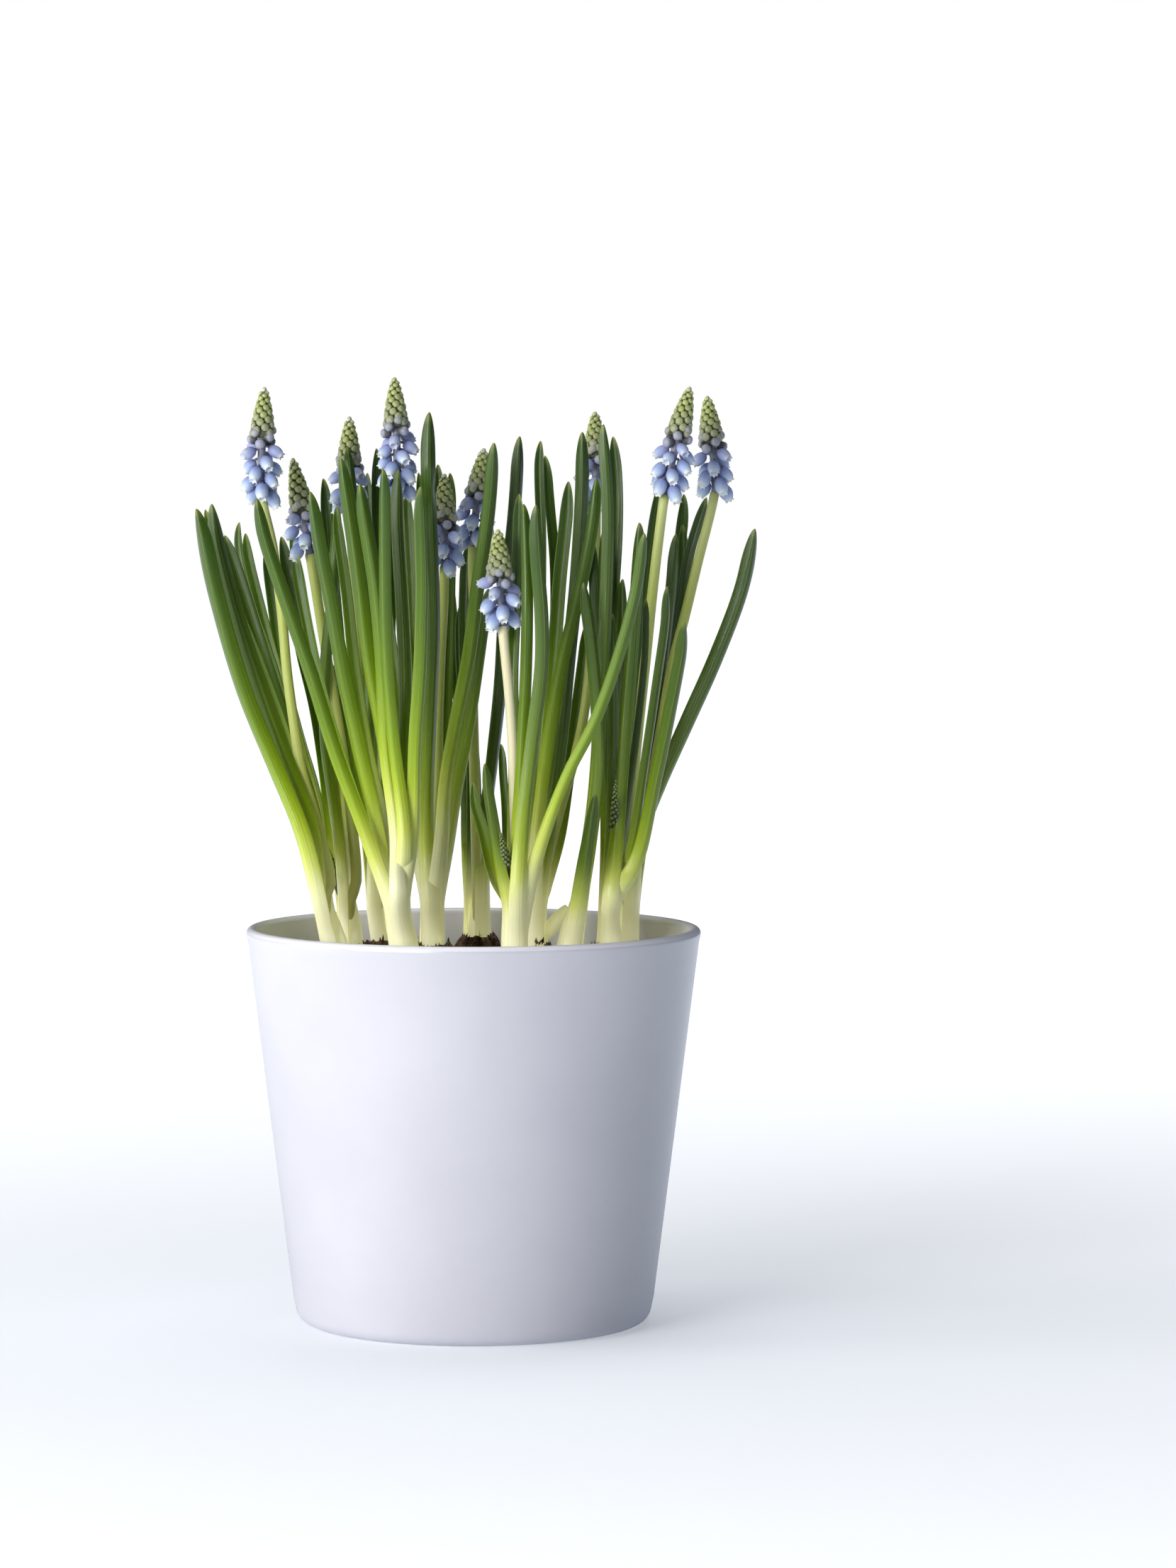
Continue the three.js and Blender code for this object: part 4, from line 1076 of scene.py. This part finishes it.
def bell(whole, axis, away, size, droop, rng, tone):
    """A bell on its short stem, hanging from a place on the axis."""
    hang = Vector((away.x, away.y, -droop)).normalized()
    stem_end = axis + Vector((away.x, away.y, 0.1 - 0.25 * droop)).normalized() * (1.4 * size)
    stem = copy_of(TUBE[8, 6])
    bmesh.ops.scale(stem, vec=(STEM_RADIUS, STEM_RADIUS, 1), verts=stem.verts)
    set_layer(stem, "kind", STEM)
    rise = axis.lerp(stem_end, 0.6) + Vector((0, 0, 0.25))
    bend(stem, Line([axis, rise, stem_end + hang * 0.2]), (0.3, 0.2, 1))
    add_to(whole, stem)
    bm = copy_of(BELL)
    turn = Vector((0, 0, -1)).rotation_difference(hang).to_matrix().to_4x4()
    wide = BELL_RADIUS * size
    matrix = (Matrix.Translation(stem_end) @ turn @ Matrix.Rotation(rng.uniform(0, 1), 4, "Z")
              @ Matrix.Diagonal((wide, wide, BELL_LENGTH * size, 1)))
    bmesh.ops.transform(bm, matrix=matrix, verts=bm.verts)
    set_layer(bm, "tone", tone)
    set_layer(bm, "kind", OPEN_BELL)
    add_to(whole, bm)


trial = new_mesh()
bell(trial, Vector((0, 0, 0)), Vector((1, 0, 0)), 1.0, 1.9, random.Random(1), 0.0)
print("an old bell hangs down to", round(min(vert.co.z for vert in trial.verts), 1), "mm")
trial.free()

# %% [markdown]
# A flower head is built up the stalk's line: the axis, the bells in their spiral, a ring of buds that are
# turning blue, and the cone of closed buds with a plain filling that hides the gaps between them.

# %% A raceme: axis, bells, turning buds and the cone
CORE_RADIUS = 1.2
BELLS_PER_MM = 0.78
FEWEST_BELLS = 9
TURNING_BUDS = 8
CONE_BUDS = 47
CONE_WIDTH = 3.8


def add_core(whole, line, low, high):
    core = copy_of(TUBE[16, 40])
    x, y, z = places_of(core).T
    move_to(core, np.column_stack([x * CORE_RADIUS, y * CORE_RADIUS, low + (high - low + 0.01) * z]))
    set_layer(core, "kind", STEM)
    bend(core, line)
    add_to(whole, core)


def add_filling(whole, base, tip, height):
    filling = spun([(0, -1), (2.6, 0), (2.1, 5), (1.2, 10), (0.7, 13.5), (0, 14.2)], 16)
    bmesh.ops.scale(filling, vec=(1, 1, height / 15.5), verts=filling.verts)
    up = Vector(tip) - Vector(base)
    upright = Matrix.Translation(base) @ Vector((0, 0, 1)).rotation_difference(up).to_matrix().to_4x4()
    bmesh.ops.transform(filling, matrix=upright, verts=filling.verts)
    set_layer(filling, "kind", CLOSED_BUD)
    add_to(whole, filling)


def build_raceme(number, finish):
    strand, rng, whole = stalk_of(number), random.Random(500 + number), new_mesh()
    line = strand["curve"]
    low, high = share_at(strand, strand["bells_from"]), share_at(strand, strand["cone_from"])
    add_core(whole, line, low, high)
    count = max(FEWEST_BELLS, round((high - low) * line.length * BELLS_PER_MM))
    for k in range(count):
        t = (k + 0.5) / count
        axis = Vector(line.place(low + (high - low) * (0.16 + 0.76 * t))[0])
        turn = GOLDEN * k + 1.3 * number
        away = Vector((math.cos(turn), math.sin(turn), 0))
        size = (1.05 - 0.16 * t) * rng.uniform(0.94, 1.05)
        bell(whole, axis + away * 0.9, away, size, 1.9 - 1.5 * t + rng.uniform(-0.3, 0.3), rng, t)
    for k in range(TURNING_BUDS):
        axis = Vector(line.place(high + (k / TURNING_BUDS - 0.45) * 4.2 / line.length)[0])
        turn = GOLDEN * (k + count) + 1.3 * number
        out = Vector((math.cos(turn), math.sin(turn), -0.1 + 0.05 * k))
        size = 1.6 - 0.04 * k
        shape = (size, size, size * 1.4)
        place_unit(whole, BUD, axis + out * (3.1 - 0.05 * k), out, shape, -0.3 + 0.03 * k, rng.random())
    base, tip = line.place(high)[0], line.place(1)[0]
    add_filling(whole, base, tip, strand["tip_z"] - strand["cone_from"])
    bud_cone(whole, base, tip, CONE_WIDTH, CONE_BUDS, rng)
    finish_piece(f"flower_head_{number + 1}", whole, finish, "bloom", f"raceme_{number + 1}")


print("a head has", FEWEST_BELLS, "bells or more and", CONE_BUDS + TURNING_BUDS, "buds")

# %% [markdown]
# One finish serves the whole head, because a number on each point says what it belongs to: an open bell, a
# closed bud, a stem or a young bud. A bell is violet at its shoulder, blue at its belly and nearly white at
# its mouth. A closed bud is olive, with painted shade round its foot, and lighter towards the spike's tip.

# %% The bloom's finish
def bloom_finish():
    bloom = Finish("bloom", {"Coat Weight": 0.05, "Coat Roughness": 0.4, "IOR": 1.4})
    along, around, tone, kind = (bloom.carried(name) for name in ("along", "around", "tone", "kind"))
    mottle = bloom.noise(bloom.place(), 700, 3)
    blue = bloom.ramp(along + (mottle - 0.5) * 0.14,
                      (0.0, (0.42, 0.44, 0.62)), (0.2, (0.30, 0.36, 0.62)), (0.5, (0.36, 0.45, 0.71)),
                      (0.76, (0.52, 0.62, 0.80)), (0.88, (0.76, 0.83, 0.87)), (1.0, (0.90, 0.93, 0.90)))
    blue = bloom.mix(around.between(0.2, 1.0) * (1 - along) * 0.35, blue, (0.18, 0.22, 0.56))
    blue = bloom.mix(tone.between(0.5, 1.1) * 0.6, blue, (0.34, 0.34, 0.56))
    olive = bloom.ramp(along + (tone - 0.7) * 0.16,
                       (0.0, (0.36, 0.37, 0.25)), (0.3, (0.36, 0.39, 0.19)), (0.65, (0.43, 0.49, 0.16)),
                       (0.92, (0.58, 0.63, 0.26)), (1.0, (0.84, 0.84, 0.70)))
    olive = bloom.mix(mottle.between(0.4, 0.75) * 0.35, olive, (0.14, 0.17, 0.06))
    olive = bloom.mix((along * -4).clamped(), olive, (0.36, 0.37, 0.46))
    # Painted shade: the lower part of each closed bud, where it sits among the others, goes nearly black.
    painted_shade_foot = bloom.mix(0.75, olive, (0.035, 0.035, 0.01))
    olive = bloom.mix((around + (mottle - 0.5) * 0.3).between(0.5, 0.78), painted_shade_foot, olive)
    bud = bloom.mix(kind.between(0.2, 0.8), blue, olive)
    # Painted shade too: each young bud is nearly black at its foot and green at its top.
    young = bloom.mix(around.between(0.35, 0.8), (0.04, 0.05, 0.015), (0.20, 0.25, 0.09))
    # The stems and axis are violet-grey, partly their own colour and partly painted shade among the bells.
    open_or_stem = bloom.mix(kind.between(1.2, 1.8), bud, (0.22, 0.23, 0.29))
    bloom.set("Base Color", bloom.mix(kind.between(2.2, 2.8), open_or_stem, young))
    bloom.set("Roughness", mottle * 0.2 + 0.38)
    bloom.bump(mottle, 0.15, 0.0003)
    return bloom


bloom = bloom_finish()
for number, plant in enumerate(PLANTS):
    if "stalk" in plant:
        build_raceme(number, bloom)

# %% [markdown]
# Three plants already have their next spike, still short and dark and half hidden beside the sheath. It is a
# short stalk with a slim cone of the same buds, and it replaces the same solid as its tuft does.

# %% Young spikes
YOUNG_WIDTH = 1.6
YOUNG_BUDS = 60


def young_spike(number, depth, x0, z0, x1, z1, finish):
    rng = random.Random(700 + number)
    foot, tip = Vector(stand(x0, z0, PLANTS[number]["at"][1])), Vector(stand(x1, z1, depth))
    whole = copy_of(TUBE[16, 40])
    x, y, z = places_of(whole).T
    radius = np.interp(z, [0, 0.5, 0.9, 1], [1.1, 1.25, 1.0, 0.3])
    move_to(whole, np.column_stack([x * radius, y * radius, z]))
    bend(whole, Line([foot, foot.lerp(tip, 0.4), foot.lerp(tip, 0.8)]))
    bud_cone(whole, foot.lerp(tip, 0.42), tip, YOUNG_WIDTH, YOUNG_BUDS, rng)
    set_layer(whole, "kind", YOUNG_BUD)
    finish_piece(f"young_spike_{number + 1}", whole, finish, "bloom", f"leaves_{number + 1}")


for number, *drawn in YOUNG_SPIKES:
    young_spike(number, *drawn, bloom)

# %% [markdown]
# A bulb wears a tunic of dry skins. The inner skin is pinkish and tight, and the outer ones are brown paper
# that has split, lifted and torn round the neck. The body is spun, and the torn skins are thin curved flaps
# with a ragged upper edge, which stand away from the neck.

# %% One bulb
def bulb_body(number, rng):
    x, y = PLANTS[number]["at"]
    profile = [(0, 91), (3.2, 90.9), (5.6, 92), (7.3, 95.2), (8.0, 99), (7.9, 104), (7.5, 108.5), (7.0, 112),
               (6.2, 114), (5.2, 115.2), (4.4, 115.3), (0, 114)]
    fine = Line([(r, 0, z) for r, z in profile]).place(np.linspace(0, 1, 40))
    bm = spun([(0, fine[0][2])] + [(max(p[0], 0.05), p[2]) for p in fine[1:-1]] + [(0, fine[-1][2])], 48)
    for vert in bm.verts:
        turn = math.atan2(vert.co.y, vert.co.x)
        swell = 1 + 0.03 * math.sin(9 * turn + number)
        swell += 0.05 * noise.noise(vert.co * 0.25 + Vector((number, 0, 0)))
        vert.co = (vert.co.x * swell + x, vert.co.y * swell + y, vert.co.z)
    set_layer(bm, "tone", rng.random())
    return bm


print("bulbs:", len(PLANTS))

# %% [markdown]
# A torn skin is a small grid, laid round the neck by the angle and the height of its points. Its upper edge
# is cut ragged by noise, and solidify gives the paper its two sides. Each bulb has a few large skins low
# down and many small shreds round the mouth of its neck.

# %% The torn skins
SKIN_THICKNESS = 0.2
# How many, how uneven, from which height, up to which, how wide, how far lifted, and how fine a grid.
SKINS = [(7, 0.3, (100, 106), (114, 116.5), (0.45, 0.85), (-0.3, 0.8), (14, 12)),
         (15, 0.5, (111, 114), (115, 118.6), (0.15, 0.4), (-1.6, 1.2), (8, 6))]


def flap(number, turn, spread, heights, lift, grid, rng):
    """A torn, curved piece of dry skin round the neck of a bulb."""
    (x, y), (low, high) = PLANTS[number]["at"], heights
    bm = new_mesh()
    bmesh.ops.create_grid(bm, x_segments=grid[0], y_segments=grid[1], size=0.5)
    along = bm.verts.layers.float["along"]
    seed = rng.uniform(0, 90)
    for vert in bm.verts:
        u, v = 2 * vert.co.x, vert.co.y + 0.5
        ragged = 0.75 + 0.45 * noise.noise(Vector((seed + 2.4 * u, 0, 0)))
        ragged += 0.35 * noise.noise(Vector((7 * u, seed, 0)))
        height = low + (high - low) * v * ragged
        angle = turn + spread * u * (1 - 0.35 * v * abs(u)) + 0.14 * noise.noise(Vector((seed, 5 * v, 0)))
        neck = float(np.interp(height, [99, 104, 108.5, 112, 115.5], [8.0, 7.9, 7.5, 7.0, 5.2]))
        away = neck + 0.3 + lift * v**3 + 0.8 * noise.noise(Vector((seed + 2 * u, 4 * v, 5)))
        vert[along] = v
        vert.co = (x + away * math.cos(angle), y + away * math.sin(angle), height)
    bmesh.ops.solidify(bm, geom=bm.faces, thickness=SKIN_THICKNESS)
    bmesh.ops.recalc_face_normals(bm, faces=bm.faces)
    set_layer(bm, "tone", rng.random())
    set_layer(bm, "kind", 1)
    return bm


def build_bulb(number, finish):
    rng = random.Random(900 + number)
    whole = bulb_body(number, rng)
    for count, uneven, foot, top, width, lift, grid in SKINS:
        for k in range(count):
            turn = 2 * math.pi * (k + rng.uniform(-uneven, uneven)) / count
            heights = rng.uniform(*foot), rng.uniform(*top)
            spread = rng.uniform(*width)
            add_to(whole, flap(number, turn, spread, heights, rng.uniform(*lift), grid, rng))
    finish_piece(f"bulb_dressed_{number + 1}", whole, finish, "tunic", f"bulb_{number + 1}")


print("torn skins on each bulb:", sum(skins[0] for skins in SKINS))

# %% [markdown]
# Dry skin is matt and streaked along its fibres, so noise that is squeezed across and stretched upwards gives
# both its colour and its bump. The tight inner skin is pink with brown patches, and the torn ones are brown.

# %% The tunic's finish
tunic = Finish("tunic", {"IOR": 1.4})
skin = tunic.noise(tunic.place(), 300, 5, 0.6)
stretched = tunic.node("ShaderNodeMapping", {}, {"Vector": tunic.place(), "Scale": (900, 900, 60)})
fibre = tunic.noise(stretched, 1.0, 3)
papery = tunic.carried("kind")
brown = tunic.ramp(skin * 0.6 + fibre * 0.4, (0.3, (0.03, 0.016, 0.012)), (0.46, (0.11, 0.058, 0.036)),
                   (0.58, (0.24, 0.14, 0.09)), (0.72, (0.44, 0.30, 0.21)))
pink = tunic.ramp(fibre * 0.5 + skin * 0.5, (0.3, (0.35, 0.20, 0.18)), (0.5, (0.56, 0.38, 0.35)),
                  (0.7, (0.72, 0.58, 0.52)))
patch = (skin + tunic.carried("tone") * 0.3).between(0.52, 0.66)
body_colour = tunic.mix(patch, pink, brown)
tunic.set("Base Color", tunic.mix(papery.between(0.2, 0.8), body_colour, brown))
tunic.set("Roughness", fibre * 0.25 + 0.5)
tunic.bump(fibre * 0.6 + skin, 0.5, 0.0006)
for number in range(len(PLANTS)):
    build_bulb(number, tunic)

# %% [markdown]
# The stage is a plain white table that fades into a plain white background, as a light tent gives. The
# paper glows a little more the farther it is from the pot, so no horizon shows. It glows less for the light
# that it throws back on the pot, so the pot keeps its shade.

# %% The floor
TABLE_RADIUS = 8
paper = Finish("paper", {"Roughness": 0.9, "Specular IOR Level": 0.1, "Emission Strength": 1.0})
fleck = paper.noise(paper.place(), 30, 2)
away = paper.node("ShaderNodeVectorMath", {"operation": "LENGTH"}, [paper.place()], "Value")
far = (away * (away + VIEW_DISTANCE * MM) ** -1).between(-0.1, 0.6)
paper.set("Base Color", paper.mix(fleck * 0.3, (0.82, 0.84, 0.88), (0.80, 0.82, 0.86)))
shown = paper.mix(far, (0.26, 0.27, 0.28), (1.0, 1.0, 1.0))
bounced = paper.mix(far, (0.06, 0.07, 0.09), (0.85, 0.9, 1.0))
paper.set("Emission Color", paper.mix(paper.to_camera(), bounced, shown))
table = bmesh.new()
bmesh.ops.create_circle(table, cap_ends=True, segments=96, radius=TABLE_RADIUS)
bmesh.ops.translate(table, vec=(0, 0, -0.0002), verts=table.verts)
table_mesh = bpy.data.meshes.new("table")
table.to_mesh(table_mesh)
table.free()
table_mesh.materials.append(paper.material)
floor = bpy.data.objects.new("white_table", table_mesh)
bpy.context.scene.collection.objects.link(floor)
print("table:", 2 * TABLE_RADIUS, "m across")

# %% [markdown]
# Two soft lamps to the left give the pot its slow shade from left to right, one beside the camera opens up
# the feet of the leaves, and a wide one above fills the rest. A large area lamp is the softbox of a studio.

# %% The lamps
def softbox(name, place, aim, size, power, colour):
    lamp = bpy.data.lights.new(name, "AREA")
    lamp.shape, lamp.size, lamp.energy, lamp.color = "SQUARE", size, power, colour
    box = bpy.data.objects.new(name, lamp)
    box.location = place
    box.rotation_euler = (Vector(aim) - Vector(place)).to_track_quat("-Z", "Y").to_euler()
    bpy.context.scene.collection.objects.link(box)


softbox("left", (-2.1, -0.2, 0.6), (0, 0, 0.15), 1.0, 15, (1.0, 0.99, 0.95))
softbox("low", (-1.7, -1.35, 0.55), (0, 0, 0.15), 0.9, 15, (0.98, 0.97, 1.0))
softbox("front", (-1.25, -1.98, 0.7), (0, 0, 0.15), 0.9, 28, (1.0, 0.99, 0.98))
softbox("top", (0.1, 0.5, 2.2), (0, 0, 0.1), 1.2, 14, (0.95, 0.97, 1.0))
print("lamps:", len(bpy.data.lights))

# %% [markdown]
# The sky is white behind the plant, but it lights it only faintly and a little blue, as the walls of a large
# room would. The Standard view keeps white paper white.

# %% The sky
SKY_LIGHT = 0.07
world = bpy.data.worlds.new("studio")
bpy.context.scene.world = world
world.use_nodes = True
sky = Tree(world.node_tree, "Background")
sky.set("Color", sky.mix(sky.to_camera(), (0.45, 0.65, 1.0), (1.0, 1.0, 1.0)))
sky.set("Strength", sky.to_camera() * (1 - SKY_LIGHT) + SKY_LIGHT)
bpy.context.scene.view_settings.view_transform = "Standard"
print("sky light on the plant:", SKY_LIGHT)

# %% [markdown]
# The camera stands as high as the flower heads and looks slightly down. A long lens shows the pot with very
# little perspective. The pot is left of the middle, so the lens is shifted instead of turned.

# %% The camera
CAMERA_DIP = 3.637
LENS_LENGTH = 131.96
LENS_SHIFT = 0.073
lens = bpy.data.cameras.new("camera")
lens.lens, lens.sensor_width, lens.sensor_fit = LENS_LENGTH, 36, "AUTO"
lens.shift_x = LENS_SHIFT
lens.clip_start, lens.clip_end = 0.05, 30
camera = bpy.data.objects.new("camera", lens)
camera.location = (0, -VIEW_DISTANCE * MM, VIEW_HEIGHT * MM)
camera.rotation_euler = (math.radians(90 - CAMERA_DIP), 0, 0)
bpy.context.scene.collection.objects.link(camera)
bpy.context.scene.camera = camera
print("camera:", round(lens.lens, 1), "mm lens at", round(VIEW_DISTANCE * MM, 2), "m")

# %% [markdown]
